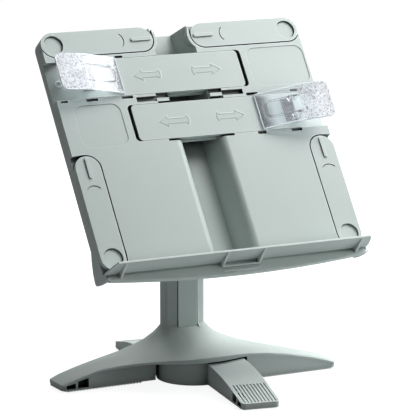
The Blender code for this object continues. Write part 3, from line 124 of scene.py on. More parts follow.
def sparkErodedAbs(name, look=plasticLook, seed=0.0):
    # ABS moulded in a spark-eroded tool: even, satin, with a fine matte grain; painted shade
    # darkens its gaps and pockets, and a painted highlight pales its outer edges
    material = bpy.data.materials.new(name)
    material.use_nodes = True
    tree = material.node_tree
    shader = tree.nodes["Principled BSDF"]
    shader.inputs["IOR"].default_value = look["ior"]
    place = addNode(tree, "ShaderNodeTexCoord")
    shift = addNode(tree, "ShaderNodeMapping", {"Location": (seed, seed, seed)},
                    {"Vector": (place, "Object")})
    flow = addNode(tree, "ShaderNodeTexNoise", {"Scale": perMetre(look["flowMm"]), "Detail": 2.0},
                   {"Vector": (shift, "Vector")})
    tone = addNode(tree, "ShaderNodeMix",
                   {"data_type": "RGBA", 6: hexColour(look["colour"]),
                    7: hexColour(look["deepColour"])}, {0: (flow, "Fac")})
    grain = addNode(tree, "ShaderNodeTexNoise",
                    {"Scale": perMetre(look["grainMm"]), "Detail": 3.0, "Roughness": 0.6},
                    {"Vector": (shift, "Vector")})
    gloss = addNode(tree, "ShaderNodeMapRange",
                    {"To Min": look["roughness"] - look["roughnessSpread"],
                     "To Max": look["roughness"] + look["roughnessSpread"]},
                    {"Value": (grain, "Fac")})
    relief = addNode(tree, "ShaderNodeBump",
                     {"Strength": look["grainStrength"], "Distance": look["grainDepthMm"] / 1000.0},
                     {"Height": (grain, "Fac")})
    # painted shade: the colour darkens where little open space is around, in gaps, pockets and
    # channels
    openness = addNode(tree, "ShaderNodeAmbientOcclusion",
                       {"samples": look["raySamples"], "Distance": look["paintedShadeMm"] / 1000.0})
    shadeMask = addNode(tree, "ShaderNodeMapRange",
                  {"interpolation_type": "SMOOTHSTEP", "From Min": look["paintedShadeShut"],
                   "From Max": look["paintedShadeFull"], "To Min": look["paintedShadeTone"], "To Max": 1.0},
                  {"Value": (openness, "AO")})
    shaded = addNode(tree, "ShaderNodeMix",
                     {"data_type": "RGBA", "blend_type": "MULTIPLY", 0: 1.0},
                     {6: (tone, 2), 7: (shadeMask, "Result")})
    # painted highlight: the colour pales where the solid is thin, along outer edges
    solid = addNode(tree, "ShaderNodeAmbientOcclusion",
                    {"samples": look["raySamples"], "inside": True,
                     "Distance": look["paintedHighlightMm"] / 1000.0})
    highlightMask = addNode(tree, "ShaderNodeMapRange",
                  {"From Min": look["paintedHighlightStart"], "From Max": look["paintedHighlightFull"], "To Min": 0.0,
                   "To Max": look["paintedHighlightStrength"]}, {"Value": (solid, "AO")})
    highlighted = addNode(tree, "ShaderNodeMix", {"data_type": "RGBA", 7: hexColour(look["paintedHighlightColour"])},
                    {0: (highlightMask, "Result"), 6: (shaded, 2)})
    # the painted shade also holds the reflections down
    mirror = addNode(tree, "ShaderNodeMath", {"operation": "MULTIPLY", 1: look["mirrorLevel"]},
                     {0: (shadeMask, "Result")})
    tree.links.new(mirror.outputs[0], shader.inputs["Specular IOR Level"])
    tree.links.new(highlighted.outputs[2], shader.inputs["Base Color"])
    tree.links.new(gloss.outputs["Result"], shader.inputs["Roughness"])
    tree.links.new(relief.outputs["Normal"], shader.inputs["Normal"])
    return material


clearLook = {
    "tint": "#f4f6f9",
    "paintedHollowShade": "#a8a2ab",     # painted shade in the hollows between the pebbles
    "shadowTint": "#c4c8ca",     # thin clear plastic throws only a pale shadow
    "mirrorTint": "#6a6a6e",     # holds the lamps' reflections down
    "ior": 1.585,
    "roughness": 0.05,
    "milk": 0.12,                # share of light that the plastic scatters back
    "pebbleMilk": 0.4,
    "rimHighlightMilk": 0.7,              # painted highlight: rims drawn milky so that they look whiter, as thick rims that gather light do
    "pebbleMm": 1.9,             # real pebbles are near 1 mm, drawn coarser so that they show
    "hollowStart": 0.52,         # noise levels at which a hollow starts and is deepest
    "hollowDeep": 0.66,
}


def clearPolycarbonate(name, milk, look=clearLook):
    # polycarbonate from a polished tool: clear with a slight haze and bright edges
    material = bpy.data.materials.new(name)
    material.use_nodes = True
    tree = material.node_tree
    shader = tree.nodes["Principled BSDF"]
    shader.inputs["Base Color"].default_value = hexColour(look["tint"])
    shader.inputs["Specular Tint"].default_value = hexColour(look["mirrorTint"])
    shader.inputs["IOR"].default_value = look["ior"]
    shader.inputs["Roughness"].default_value = look["roughness"]
    shader.inputs["Transmission Weight"].default_value = 1.0 - milk
    path = addNode(tree, "ShaderNodeLightPath")
    through = addNode(tree, "ShaderNodeBsdfTransparent", {"Color": hexColour(look["shadowTint"])})
    either = addNode(tree, "ShaderNodeMixShader", None,
                     {0: (path, "Is Shadow Ray"), 1: (shader, 0), 2: (through, 0)})
    tree.links.new(either.outputs[0], tree.nodes["Material Output"].inputs["Surface"])
    return material


def pebbledPolycarbonate(name, look=clearLook):
    # the same plastic from the tool's etched part, with painted shade in a noise pattern of hollows
    # and reflections only from the crests
    material = clearPolycarbonate(name, look["pebbleMilk"], look)
    tree = material.node_tree
    shader = tree.nodes["Principled BSDF"]
    place = addNode(tree, "ShaderNodeTexCoord")
    pebbles = addNode(tree, "ShaderNodeTexNoise",
                      {"Scale": perMetre(look["pebbleMm"]), "Detail": 1.0},
                      {"Vector": (place, "Object")})
    hollow = addNode(tree, "ShaderNodeMapRange",
                     {"From Min": look["hollowStart"], "From Max": look["hollowDeep"]},
                     {"Value": (pebbles, "Fac")})
    # painted shade darkens the hollows, and their reflections are taken away
    tone = addNode(tree, "ShaderNodeMix",
                   {"data_type": "RGBA", 6: hexColour(look["tint"]),
                    7: hexColour(look["paintedHollowShade"])}, {0: (hollow, "Result")})
    shine = addNode(tree, "ShaderNodeMix",
                    {"data_type": "RGBA", 6: hexColour(look["mirrorTint"]),
                     7: hexColour("#000000")}, {0: (hollow, "Result")})
    tree.links.new(tone.outputs[2], shader.inputs["Base Color"])
    tree.links.new(shine.outputs[2], shader.inputs["Specular Tint"])
    return material


steelLook = {"colour": "#b9bcbe", "metallic": 1.0, "markMm": 1.5, "markDetail": 4.0,
             "smoothest": 0.24, "roughest": 0.42}
brassLook = {"colour": "#c9a35c", "metallic": 1.0, "markMm": 0.8, "markDetail": 2.0,
             "smoothest": 0.22, "roughest": 0.38}
acetalLook = {"colour": "#2b2e2e", "metallic": 0.0, "markMm": 1.2, "markDetail": 2.0,
              "smoothest": 0.42, "roughest": 0.55}
rubberLook = {"colour": "#4c524f", "dustColour": "#646b68", "dustMm": 3.0, "roughness": 0.8}


def unevenGloss(name, look):
    # one colour whose gloss changes a little with the marks of its making
    material = bpy.data.materials.new(name)
    material.use_nodes = True
    tree = material.node_tree
    shader = tree.nodes["Principled BSDF"]
    shader.inputs["Base Color"].default_value = hexColour(look["colour"])
    shader.inputs["Metallic"].default_value = look["metallic"]
    place = addNode(tree, "ShaderNodeTexCoord")
    marks = addNode(tree, "ShaderNodeTexNoise",
                    {"Scale": perMetre(look["markMm"]), "Detail": look["markDetail"]},
                    {"Vector": (place, "Object")})
    gloss = addNode(tree, "ShaderNodeMapRange",
                    {"To Min": look["smoothest"], "To Max": look["roughest"]},
                    {"Value": (marks, "Fac")})
    tree.links.new(gloss.outputs["Result"], shader.inputs["Roughness"])
    return material


def mouldedElastomer(name, look=rubberLook):
    # thermoplastic rubber: grey, matte, slightly dusty
    material = bpy.data.materials.new(name)
    material.use_nodes = True
    tree = material.node_tree
    shader = tree.nodes["Principled BSDF"]
    shader.inputs["Roughness"].default_value = look["roughness"]
    place = addNode(tree, "ShaderNodeTexCoord")
    dust = addNode(tree, "ShaderNodeTexNoise", {"Scale": perMetre(look["dustMm"]), "Detail": 3.0},
                   {"Vector": (place, "Object")})
    tone = addNode(tree, "ShaderNodeMix",
                   {"data_type": "RGBA", 6: hexColour(look["colour"]),
                    7: hexColour(look["dustColour"])}, {0: (dust, "Fac")})
    tree.links.new(tone.outputs[2], shader.inputs["Base Color"])
    return material


# the mouldings differ in the depth of their pockets, so each has its own reach of painted shade,
# long on the panel to darken its channel and on the base to black its leg windows; the seed shifts
# the flow pattern
absPanel = sparkErodedAbs("sparkErodedAbsPanel", dict(plasticLook, paintedShadeMm=28.0, paintedShadeFull=0.95))
absArms = sparkErodedAbs("sparkErodedAbsArms", seed=0.37)
absBars = sparkErodedAbs("sparkErodedAbsBars", seed=0.81)
absReliefs = sparkErodedAbs("sparkErodedAbsReliefs", dict(plasticLook, paintedHighlightStrength=0.0),
                            seed=0.81)
# the ledge's copy is paler all over, painted light for its lit underside, keeps more tone under its
# painted shade and has a broader, stronger painted highlight on its edges
absLedgeLit = sparkErodedAbs("sparkErodedAbsLedgePaintedLight",
                          dict(plasticLook, colour="#d4deda", deepColour="#ced8d5", paintedShadeMm=5.0,
                               paintedShadeTone=0.5, paintedHighlightMm=1.3, paintedHighlightStrength=0.9), seed=1.1)
absBase = sparkErodedAbs("sparkErodedAbsBase", dict(plasticLook, paintedShadeMm=16.0, roughness=0.6),
                         seed=1.43)
# near-white copy: painted highlight for the lit ridge beside the column's strip
absPaintedHighlight = sparkErodedAbs("sparkErodedAbsPaintedHighlight",
                         dict(plasticLook, colour="#f2f6f4", deepColour="#edf2f0", paintedShadeTone=1.0),
                         seed=1.43)
clearPc = clearPolycarbonate("clearPolycarbonate", clearLook["milk"])
clearRimHighlight = clearPolycarbonate("clearPolycarbonateRimHighlight", clearLook["rimHighlightMilk"])
pebbledPc = pebbledPolycarbonate("pebbledPolycarbonate")
# zinc plated steel: cool, satin, with faint brush marks
steel = unevenGloss("platedSteel", steelLook)
# brass turned on a lathe: warm, with a fine ring grain
brass = unevenGloss("turnedBrass", brassLook)
rubber = mouldedElastomer("mouldedElastomer")
# acetal slide plastic: near black, waxy
acetal = unevenGloss("acetalBlack", acetalLook)

slotMaterials = {"steel": steel, "brass": brass, "rubber": rubber, "dark": acetal,
                 "clear": clearPc}
baseNodes = ("base_cover", "cross_bar", "column_strip", "inner_post", "clamp_knob", "tilt_knob")
nodeSlots = {part["node"]: part["material_slot"] for part in frame["record"]["subparts"]}


def absFor(name):
    if name.startswith("swing_arm") or name.startswith("arm_pin"):
        return absArms
    if name.endswith("slide_bar"):
        return absBars
    if name in baseNodes:
        return absBase
    if name == "book_ledge":
        return absLedgeLit
    return absPanel


for name, node in nodes.items():
    finish = slotMaterials.get(nodeSlots[name]) or absFor(name)
    for index in range(len(node.material_slots)):
        node.material_slots[index].material = finish
print("materials on every node")


# Mesh tools for the pieces made here

quarterSteps = 8
quarterAngles = [0.5 * math.pi * step / quarterSteps for step in range(quarterSteps + 1)]


def ringAngles(count):
    return [math.tau * step / count for step in range(count)]


def meshObject(name, verts, faces, material):
    mesh = bpy.data.meshes.new(name)
    build = bmesh.new()
    corners = [build.verts.new(vert) for vert in verts]
    for face in faces:
        build.faces.new([corners[index] for index in face])
    bmesh.ops.recalc_face_normals(build, faces=build.faces)
    build.to_mesh(mesh)
    build.free()
    mesh.materials.append(material)
    made = bpy.data.objects.new(name, mesh)
    bpy.context.scene.collection.objects.link(made)
    return made


def prismFaces(count, first=0):
    # two ends and the sides between them, over two outlines that follow each other
    faces = [tuple(range(first, first + count)), tuple(range(first + count, first + 2 * count))]
    faces += [(first + i, first + (i + 1) % count, first + count + (i + 1) % count,
               first + count + i) for i in range(count)]
    return faces


def slab(outline, low, high):
    # closed prism over a plan outline in (s, q), between two distances from the panel's face
    verts = [onPanel(s, q, n) for n in (low, high) for s, q in outline]
    return verts, prismFaces(len(outline))


def crossSlab(outline, low, high):
    # the same over a side outline in (s, n), between two places up the panel
    verts = [onPanel(s, q, n) for q in (low, high) for s, n in outline]
    return verts, prismFaces(len(outline))


def shapeBy(target, solid, operation):
    # cuts or joins one solid and keeps only the result
    tool = meshObject(target.name + "Tool", *solid, target.data.materials[0])
    step = target.modifiers.new("step", "BOOLEAN")
    step.operation = operation
    step.solver = "EXACT"
    step.object = tool
    shaped = target.evaluated_get(bpy.context.evaluated_depsgraph_get())
    result = bpy.data.meshes.new_from_object(shaped)
    target.modifiers.clear()
    target.data = result
    bpy.data.objects.remove(tool)


beadSides = 8


def bead(name, path, radiusMm, material, ring=True):
    # round rod along the given places, as a ring or with two closed ends
    verts, count = [], len(path)
    for index, here in enumerate(path):
        before, after = path[index - 1], path[(index + 1) % count]
        if not ring:
            before, after = path[max(index - 1, 0)], path[min(index + 1, count - 1)]
        along = (after - before).normalized()
        sideways = along.cross(outOfPanel).normalized()
        upwards = sideways.cross(along)
        verts += [here + radiusMm / 1000.0 * (math.cos(a) * sideways + math.sin(a) * upwards)
                  for a in ringAngles(beadSides)]
    faces = []
    if not ring:
        faces = [tuple(range(beadSides)), tuple(range((count - 1) * beadSides, count * beadSides))]
    for index in range(count if ring else count - 1):
        first, second = index * beadSides, (index + 1) % count * beadSides
        for step in range(beadSides):
            following = (step + 1) % beadSides
            faces.append((first + step, first + following, second + following, second + step))
    made = meshObject(name, verts, faces, material)
    for face in made.data.polygons:
        face.use_smooth = True
    return made


# Page clips: clear levers with a pebbled finger pad, a spring tongue and a thick rim

clipLook = {
    "jawMm": 73.0,               # distances out from the panel's middle
    "endMm": 150.0,
    "halfWidthMm": 20.5,
    "thicknessMm": 2.6,
    "cornerMm": 6.0,
    "riseMm": ((0.0, 0.3), (2.0, 1.8), (8.0, 4.1), (16.0, 6.9), (24.0, 9.6), (32.0, 12.4),
               (42.0, 15.8), (52.0, 17.8), (62.0, 19.3), (70.0, 20.3), (77.0, 21.1)),
    "padMm": 33.0,
    "padMarginMm": 1.2,          # plain border around the pebbles
    "pebbleMm": 1.9,
    "pebbleHeightMm": 0.45,
    "pebbleReach": 0.6,          # share of the pebble size at which a pebble has run out
    "coarseStepMm": 2.2,         # mesh steps along the plain part and the pebbled pad
    "fineStepMm": 0.75,
    "lastSteps": (0.5, 0.15, 0.0),
    "acrossSteps": 54,
    "tongueStartMm": 79.5,
    "tongueEndMm": 106.5,
    "tongueHalfMm": 9.6,
    "tongueBend": 0.62,          # corner radius as a share of the tongue's half width
    "slotMm": 1.8,
    "pivotMm": 113.0,
    "pivotHeightMm": 7.0,
    "earRadiusMm": 4.2,
    "earInnerMm": 8.0,
    "earOuterMm": 10.5,
    "earSteps": 14,
    "earOverlapMm": 0.8,         # how far an ear runs into the lever
    "boreMm": 1.56,
    "boreSteps": 24,
    "rimMm": 0.65,
    "rimInsetMm": 0.5,
    "rimHeight": 0.6,            # share of the lever's thickness
    "cutReachMm": 40.0,
    "boreReachMm": 12.0,
    "sharpDeg": 40.0,
}


def fromTable(table, place):
    # straight lines between the table's pairs
    for (first, low), (second, high) in zip(table, table[1:]):
        if place <= second:
            return low + (high - low) * (place - first) / (second - first)
    return table[-1][1]


def leverPlaces(look):
    # steps from the jaw to the outer end, finer along the pebbled pad
    places, place = [], look["jawMm"]
    padStart = look["endMm"] - look["padMm"]
    while place < look["endMm"] - look["fineStepMm"]:
        places.append(place)
        place += look["fineStepMm"] if place > padStart else look["coarseStepMm"]
    return places + [look["endMm"] - look["fineStepMm"] * share for share in look["lastSteps"]]


def leverFaces(rows, columns):
    # top and underside grids, joined along their four borders
    rowLength = columns + 1
    offset = rows * rowLength
    faces = []
    for row in range(rows - 1):
        for column in range(columns):
            first = row * rowLength + column
            quad = (first, first + 1, first + 1 + rowLength, first + rowLength)
            faces.append(quad)
            faces.append(tuple(offset + index for index in reversed(quad)))
        for column in (0, columns):
            first = row * rowLength + column
            faces.append((first, first + rowLength, offset + first + rowLength, offset + first))
    for row in (0, rows - 1):
        for column in range(columns):
            first = row * rowLength + column
            faces.append((first, first + 1, offset + first + 1, offset + first))
    return faces


def tongueSlot(look):
    # thin U around the spring tongue, round towards the jaw, as (place, across)
    near, far = look["tongueStartMm"], look["tongueEndMm"]
    outer, width = look["tongueHalfMm"], look["slotMm"]
    bend = outer * look["tongueBend"]
    tight = bend - width
    middle, shift = near + bend, outer - bend
    outline = [(far, outer)]
    outline += [(middle - bend * math.sin(a), shift + bend * math.cos(a)) for a in quarterAngles]
    outline += [(middle - bend * math.cos(a), -shift - bend * math.sin(a)) for a in quarterAngles]
    outline += [(far, -outer), (far, -outer + width)]
    outline += [(middle - tight * math.sin(a), -shift - tight * math.cos(a)) for a in quarterAngles]
    outline += [(middle - tight * math.cos(a), shift + tight * math.sin(a)) for a in quarterAngles]
    return outline + [(far, outer - width)]


def clipLever(hand, side, middleQ, look=clipLook):
    jaw, end, half = look["jawMm"], look["endMm"], look["halfWidthMm"]
    corner, margin, inset = look["cornerMm"], look["padMarginMm"], look["rimInsetMm"]
    padStart = end - look["padMm"]
    places, columns = leverPlaces(look), look["acrossSteps"]
    top, under, lowRim, highRim = [], [], [], []
    for place in places:
        reach = min(end - place, corner)
        width = half - corner + math.sqrt(max(corner ** 2 - (corner - reach) ** 2, 0.0))
        rise = fromTable(look["riseMm"], place - jaw)
        rimPlace = side * min(max(place, jaw + inset), end - inset)
        rimHeight = rise + look["thicknessMm"] * look["rimHeight"]
        lowRim.append(onPanel(rimPlace, middleQ - width + inset, rimHeight))
        highRim.append(onPanel(rimPlace, middleQ + width - inset, rimHeight))
        for column in range(columns + 1):
            across = width * (2.0 * column / columns - 1.0)
            inside = min(place - padStart, end - margin - place, half - margin - abs(across))
            pebble = 0.0
            if inside > 0.0:
                near = noise.voronoi(Vector((place, across, side)) / look["pebbleMm"])[0][0]
                pebble = (look["pebbleHeightMm"] * (1.0 - near / look["pebbleReach"])
                          * min(inside, 1.0))
            top.append(onPanel(side * place, middleQ + across,
                               rise + look["thicknessMm"] + max(pebble, 0.0)))
            under.append(onPanel(side * place, middleQ + across, rise))
    lever = meshObject(hand + "ClipLever", top + under, leverFaces(len(places), columns), clearPc)
    lever.data.materials.append(pebbledPc)
    for face in lever.data.polygons:
        spots = [lever.data.vertices[index].co.x * 1000.0 * side for index in face.vertices]
        if min(spots) > padStart:
            face.material_index = 1
    slot = [(side * place, middleQ + across) for place, across in tongueSlot(look)]
    shapeBy(lever, slab(slot, 0.0, look["cutReachMm"]), "DIFFERENCE")
    # ears around the pin
    pivot, height, radius = look["pivotMm"], look["pivotHeightMm"], look["earRadiusMm"]
    bridge = fromTable(look["riseMm"], pivot - jaw) + look["earOverlapMm"]
    lowerHalf = [math.pi + math.pi * step / look["earSteps"]
                 for step in range(look["earSteps"] + 1)]
    for sign in (-1.0, 1.0):
        shape = [(side * (pivot + radius * math.cos(a)), height + radius * math.sin(a))
                 for a in lowerHalf]
        shape += [(side * (pivot + radius), bridge), (side * (pivot - radius), bridge)]
        spans = sorted((sign * look["earInnerMm"], sign * look["earOuterMm"]))
        shapeBy(lever, crossSlab(shape, middleQ + spans[0], middleQ + spans[1]), "UNION")
    bore = [(side * pivot + look["boreMm"] * math.cos(a), height + look["boreMm"] * math.sin(a))
            for a in ringAngles(look["boreSteps"])]
    shapeBy(lever, crossSlab(bore, middleQ - look["boreReachMm"], middleQ + look["boreReachMm"]),
            "DIFFERENCE")
    for face in lever.data.polygons:
        face.use_smooth = True
    lever.data.set_sharp_from_angle(angle=math.radians(look["sharpDeg"]))
    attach(lever, hand + "_clip")
    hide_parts(hand + "_clip_lever")
    # the rim rod is milky white, a painted highlight along the lever's thick edge
    rim = bead(hand + "ClipRim", lowRim + highRim[::-1], look["rimMm"], clearRimHighlight)
    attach(rim, hand + "_clip")


# each lever's side of the panel and its middle line, in q
for hand, side, middleQ in (("left", -1.0, 199.5), ("right", 1.0, 145.5)):
    clipLever(hand, side, middleQ)
print("page clips made")


# Outlines on the slide bars with a gentle outer slope and a steep inner side, so that they read as
# sunk: arrows that show which way each one pulls, and a round mould mark

reliefLook = {
    "slopeMm": 1.5,
    "steepMm": 0.15,
    "heightMm": 0.36,
    "sunkMm": 0.06,
    "depthMm": 0.1,              # how far the outline runs into the bar
    "leastMitre": 0.55,          # keeps sharp corners from reaching too far
    "headLengthMm": 9.0,
    "headHalfMm": 5.6,
    "shaftHalfMm": 2.6,
    "tailHalfMm": 4.6,
    "tailMm": 3.2,
    "tailCornerMm": 1.2,
    "arrows": (                  # name, tip, tail and middle line, body
        ("upperArrowLeft", -56.0, -26.0, 199.5, "upper_bar"),
        ("upperArrowRight", 44.0, 12.0, 200.5, "upper_bar"),
        ("lowerArrowLeft", -42.0, -9.0, 144.5, "lower_bar"),
        ("lowerArrowRight", 55.6, 24.5, 145.0, "lower_bar"),
    ),
    "markMiddleMm": (-141.5, 197.6),
    "markRadiusMm": 2.6,
    "markFaceMm": -2.1,          # the bar's outer end lies this far under its middle part
    "markSteps": 20,
}


def insetOutline(points, width, look=reliefLook):
    # the outline moved inwards, for points that run anticlockwise
    moved = []
    for index, here in enumerate(points):
        before, after = points[index - 1], points[(index + 1) % len(points)]
        first = (Vector(here) - Vector(before)).normalized()
        second = (Vector(after) - Vector(here)).normalized()
        firstIn, secondIn = Vector((-first.y, first.x)), Vector((-second.y, second.x))
        middleIn = (firstIn + secondIn).normalized()
        reach = width / max(middleIn.dot(firstIn), look["leastMitre"])
        moved.append((here[0] + middleIn.x * reach, here[1] + middleIn.y * reach))
    return moved


def sunkOutline(name, points, body, face=0.0, look=reliefLook):
    low, high = face - look["sunkMm"], face + look["heightMm"]
    rings = ((insetOutline(points, -look["slopeMm"]), low), (points, high),
             (insetOutline(points, look["steepMm"]), low), (points, low - look["depthMm"]))
    count = len(points)
    verts = [onPanel(s, q, n) for outline, n in rings for s, q in outline]
    faces = []
    for ring in range(len(rings)):
        first, second = ring * count, (ring + 1) % len(rings) * count
        for step in range(count):
            following = (step + 1) % count
            faces.append((first + step, first + following, second + following, second + step))
    made = meshObject(name, verts, faces, absReliefs)
    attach(made, body)


def arrowOutline(tip, tail, middleQ, look=reliefLook):
    # anticlockwise, pointing from the tail to the tip
    way = 1.0 if tip > tail else -1.0
    neck = tip - way * look["headLengthMm"]
    bend = tail + way * look["tailMm"]
    half, wide, flare = look["shaftHalfMm"], look["headHalfMm"], look["tailHalfMm"]
    upper = [(tip, 0.0), (neck, wide), (neck, half), (bend, half),
             (tail + way * look["tailCornerMm"], flare), (tail, flare * 0.5)]
    outline = upper + [(s, -q) for s, q in reversed(upper[1:])]
    if way < 0.0:
        outline.reverse()
    return [(s, middleQ + q) for s, q in outline]


for name, tip, tail, middleQ, body in reliefLook["arrows"]:
    sunkOutline(name, arrowOutline(tip, tail, middleQ), body)
markS, markQ = reliefLook["markMiddleMm"]
markRing = [(markS + reliefLook["markRadiusMm"] * math.cos(a),
             markQ + reliefLook["markRadiusMm"] * math.sin(a))
            for a in ringAngles(reliefLook["markSteps"])]
sunkOutline("upperBarMark", markRing, "upper_bar", reliefLook["markFaceMm"])
print("bar reliefs made")


# Ridge beside the column's front strip, with a short curl onto the flare

ridgeLook = {
    "placesMm": ((11.7, 0.0, 161.0), (11.7, 0.0, 58.0), (11.9, -0.1, 54.0), (12.6, -0.3, 52.0),
                 (13.6, -0.8, 50.5), (14.6, -1.1, 49.5)),
    "frontMm": 14.0,
    "radiusMm": 0.75,
}
ridgePath = [Vector((x, ridgeLook["frontMm"] + back, z)) / 1000.0
             for x, back, z in ridgeLook["placesMm"]]
# the ridge is drawn near white, a painted highlight where the strip's edge catches the light
ridge = bead("columnRidge", ridgePath, ridgeLook["radiusMm"], absPaintedHighlight, ring=False)
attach(ridge, "base")


# Scalloped hem under the near side of each leg, where its ribbed sole comes out to the edge

hemLook = {
    "startMm": 58.0,             # from the base's middle
    "endMm": 144.5,
    "pitchMm": 3.6,              # real ribs are near 2.4 mm apart, drawn coarser so that they show
    "ribMm": 2.0,
    "heightMm": 1.1,
    "shoulderMm": 0.35,
    "bottomMm": 0.05,
    "depthMm": 3.2,
    "legs": (("Left", -1.0, 2.0), ("Right", 1.0, -37.2)),   # hand, side and near face
}


def soleHem(hand, side, nearMm, look=hemLook):
    half, height = look["ribMm"] / 2.0, look["heightMm"]
    shoulder, bottom = look["shoulderMm"], look["bottomMm"]
    profile = [(-half, height), (-half, shoulder), (-half * 0.5, bottom), (half * 0.5, bottom),
               (half, shoulder), (half, height)]
    verts, faces = [], []
    for rib in range(int((look["endMm"] - look["startMm"]) / look["pitchMm"])):
        middleX = side * (look["endMm"] - rib * look["pitchMm"])
        faces += prismFaces(len(profile), len(verts))
        for y in (nearMm, nearMm + look["depthMm"]):
            verts += [Vector((middleX + x, y, z)) / 1000.0 for x, z in profile]
    hem = meshObject("soleHem" + hand, verts, faces, absBase)
    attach(hem, "base")


for hand, side, nearMm in hemLook["legs"]:
    soleHem(hand, side, nearMm)
print("ridge and sole hems made")


# Edges: every moulding leaves its tool with small radii, which catch the light

edgeWork = {
    "mergeMm": 0.002,            # joins corners that the import left apart
    "flatDeg": 0.6,              # faces flatter to each other than this become one
    "edgeDeg": 24.0,             # edges steeper than this are rounded
    "widthMm": {"book_panel": 0.5, "base_cover": 0.8, "cross_bar": 0.45, "book_ledge": 0.5},
    "usualWidthMm": 0.4,
    "segments": 2,
    "sharpDeg": 34.0,            # edges steeper than this stay sharp in the shading
}


def cleaningGroup():
    # joins the imported triangles and drops their stored normals
    tree = bpy.data.node_groups.new("cleanImport", "GeometryNodeTree")
    tree.interface.new_socket("Geometry", in_out="INPUT", socket_type="NodeSocketGeometry")
    tree.interface.new_socket("Geometry", in_out="OUTPUT", socket_type="NodeSocketGeometry")
    start = addNode(tree, "NodeGroupInput")
    bare = addNode(tree, "GeometryNodeRemoveAttribute", {"Name": "custom_normal"},
                   {"Geometry": (start, 0)})
    merged = addNode(tree, "GeometryNodeMergeByDistance",
                     {"Distance": edgeWork["mergeMm"] / 1000.0}, {"Geometry": (bare, 0)})
    addNode(tree, "NodeGroupOutput", None, {0: (merged, 0)})
    return tree


def shadingGroup():
    # round faces are shaded smooth and sharp edges stay sharp
    tree = bpy.data.node_groups.new("smoothByAngle", "GeometryNodeTree")
    tree.interface.new_socket("Geometry", in_out="INPUT", socket_type="NodeSocketGeometry")
    tree.interface.new_socket("Geometry", in_out="OUTPUT", socket_type="NodeSocketGeometry")
    start = addNode(tree, "NodeGroupInput")
    smooth = addNode(tree, "GeometryNodeSetShadeSmooth", {"domain": "FACE", "Shade Smooth": True},
                     {"Geometry": (start, 0)})
    angle = addNode(tree, "GeometryNodeInputMeshEdgeAngle")
    steep = addNode(tree, "FunctionNodeCompare",
                    {"operation": "GREATER_THAN", 1: math.radians(edgeWork["sharpDeg"])},
                    {0: (angle, "Unsigned Angle")})
    sharp = addNode(tree, "GeometryNodeSetShadeSmooth", {"domain": "EDGE", "Shade Smooth": False},
                    {"Geometry": (smooth, 0), "Selection": (steep, 0)})
    addNode(tree, "NodeGroupOutput", None, {0: (sharp, 0)})
    return tree


cleanImport = cleaningGroup()
smoothByAngle = shadingGroup()


def softenEdges(node, widthMm):
    node.modifiers.new("clean", "NODES").node_group = cleanImport
    flat = node.modifiers.new("flat", "DECIMATE")
    flat.decimate_type = "DISSOLVE"
    flat.angle_limit = math.radians(edgeWork["flatDeg"])
    bevel = node.modifiers.new("edges", "BEVEL")
    bevel.width = widthMm / 1000.0
    bevel.segments = edgeWork["segments"]
    bevel.limit_method = "ANGLE"
    bevel.angle_limit = math.radians(edgeWork["edgeDeg"])
    bevel.loop_slide = False
    node.modifiers.new("shade", "NODES").node_group = smoothByAngle
    normals = node.modifiers.new("normals", "WEIGHTED_NORMAL")
    normals.keep_sharp = True


for name, node in nodes.items():
    softenEdges(node, edgeWork["widthMm"].get(name, edgeWork["usualWidthMm"]))
print("edges softened")


# Studio: white floor and background, a soft key from the upper right, a rim from the right and very
# little from the left, so that the undersides and the left leg stay dark

studio = {
    "ambient": 0.02,
    "ambientTint": "#f2f5f7",
    "reflectedWhite": 0.30,      # how bright the surroundings are in reflections
    "floorColour": "#8d9192",
    "floorRoughness": 0.9,
    "floorHalfM": 6.0,
    "floorDropM": 0.0002,        # keeps the soles and the floor apart
    "floorWhite": 0.90,          # near the object, so that its shadow still shows
    "whiteFromM": 0.25,          # from here to the next distance the floor turns fully white
    "whiteFullM": 0.9,
    "floorGlow": 0.12,           # what the floor throws back on undersides
    "lamps": (                   # name, place and size in metres, watts, tint
        ("keyLamp", (1.10, -0.30, 1.58), 0.9, 28.5, "#ffffff"),
        ("rimLamp", (1.10, 0.70, 0.80), 0.8, 8.5, "#ffffff"),
        ("sideLamp", (1.15, -0.15, 0.60), 0.6, 1.0, "#f7ffff"),
        ("lowLamp", (1.00, -0.45, 0.12), 0.4, 3.8, "#f6fffd"),
        ("topLamp", (0.15, 0.00, 1.55), 0.8, 4.4, "#f4fffc"),
        ("frontLamp", (0.75, -1.10, 0.65), 0.7, 1.4, "#ffffff"),
        ("topBackLamp", (0.30, 0.70, 1.40), 0.7, 8.8, "#ffffff"),
        ("leftLamp", (-1.30, 0.25, 0.55), 0.6, 0.3, "#fff4fb"),
        ("backLamp", (0.30, 1.20, 0.20), 0.5, 1.2, "#ffffff"),
    ),
}


def areaLamp(name, place, size, watts, tint, aim):
    data = bpy.data.lights.new(name, "AREA")
    data.shape = "SQUARE"
    data.size = size
    data.energy = watts
    data.color = hexColour(tint)[:3]
    lamp = bpy.data.objects.new(name, data)
    lamp.location = place
    lamp.rotation_euler = (Vector(aim) - Vector(place)).to_track_quat("-Z", "Y").to_euler()
    bpy.context.scene.collection.objects.link(lamp)


middle = (cadBox[0] + cadBox[1]) / 2.0
for lamp in studio["lamps"]:
    areaLamp(*lamp, middle)


def seenDirectly(tree):
    # 1 where the camera looks straight at it or through clear plastic, less in a reflection
    path = addNode(tree, "ShaderNodeLightPath")
    first = addNode(tree, "ShaderNodeMath", {"operation": "MAXIMUM"},
                    {0: (path, "Is Camera Ray"), 1: (path, "Is Transmission Ray")})
    mirrored = addNode(tree, "ShaderNodeMath",
                       {"operation": "MULTIPLY", 1: studio["reflectedWhite"]},
                       {0: (path, "Is Glossy Ray")})
    return addNode(tree, "ShaderNodeMath", {"operation": "MAXIMUM"},
                   {0: (first, 0), 1: (mirrored, 0)})


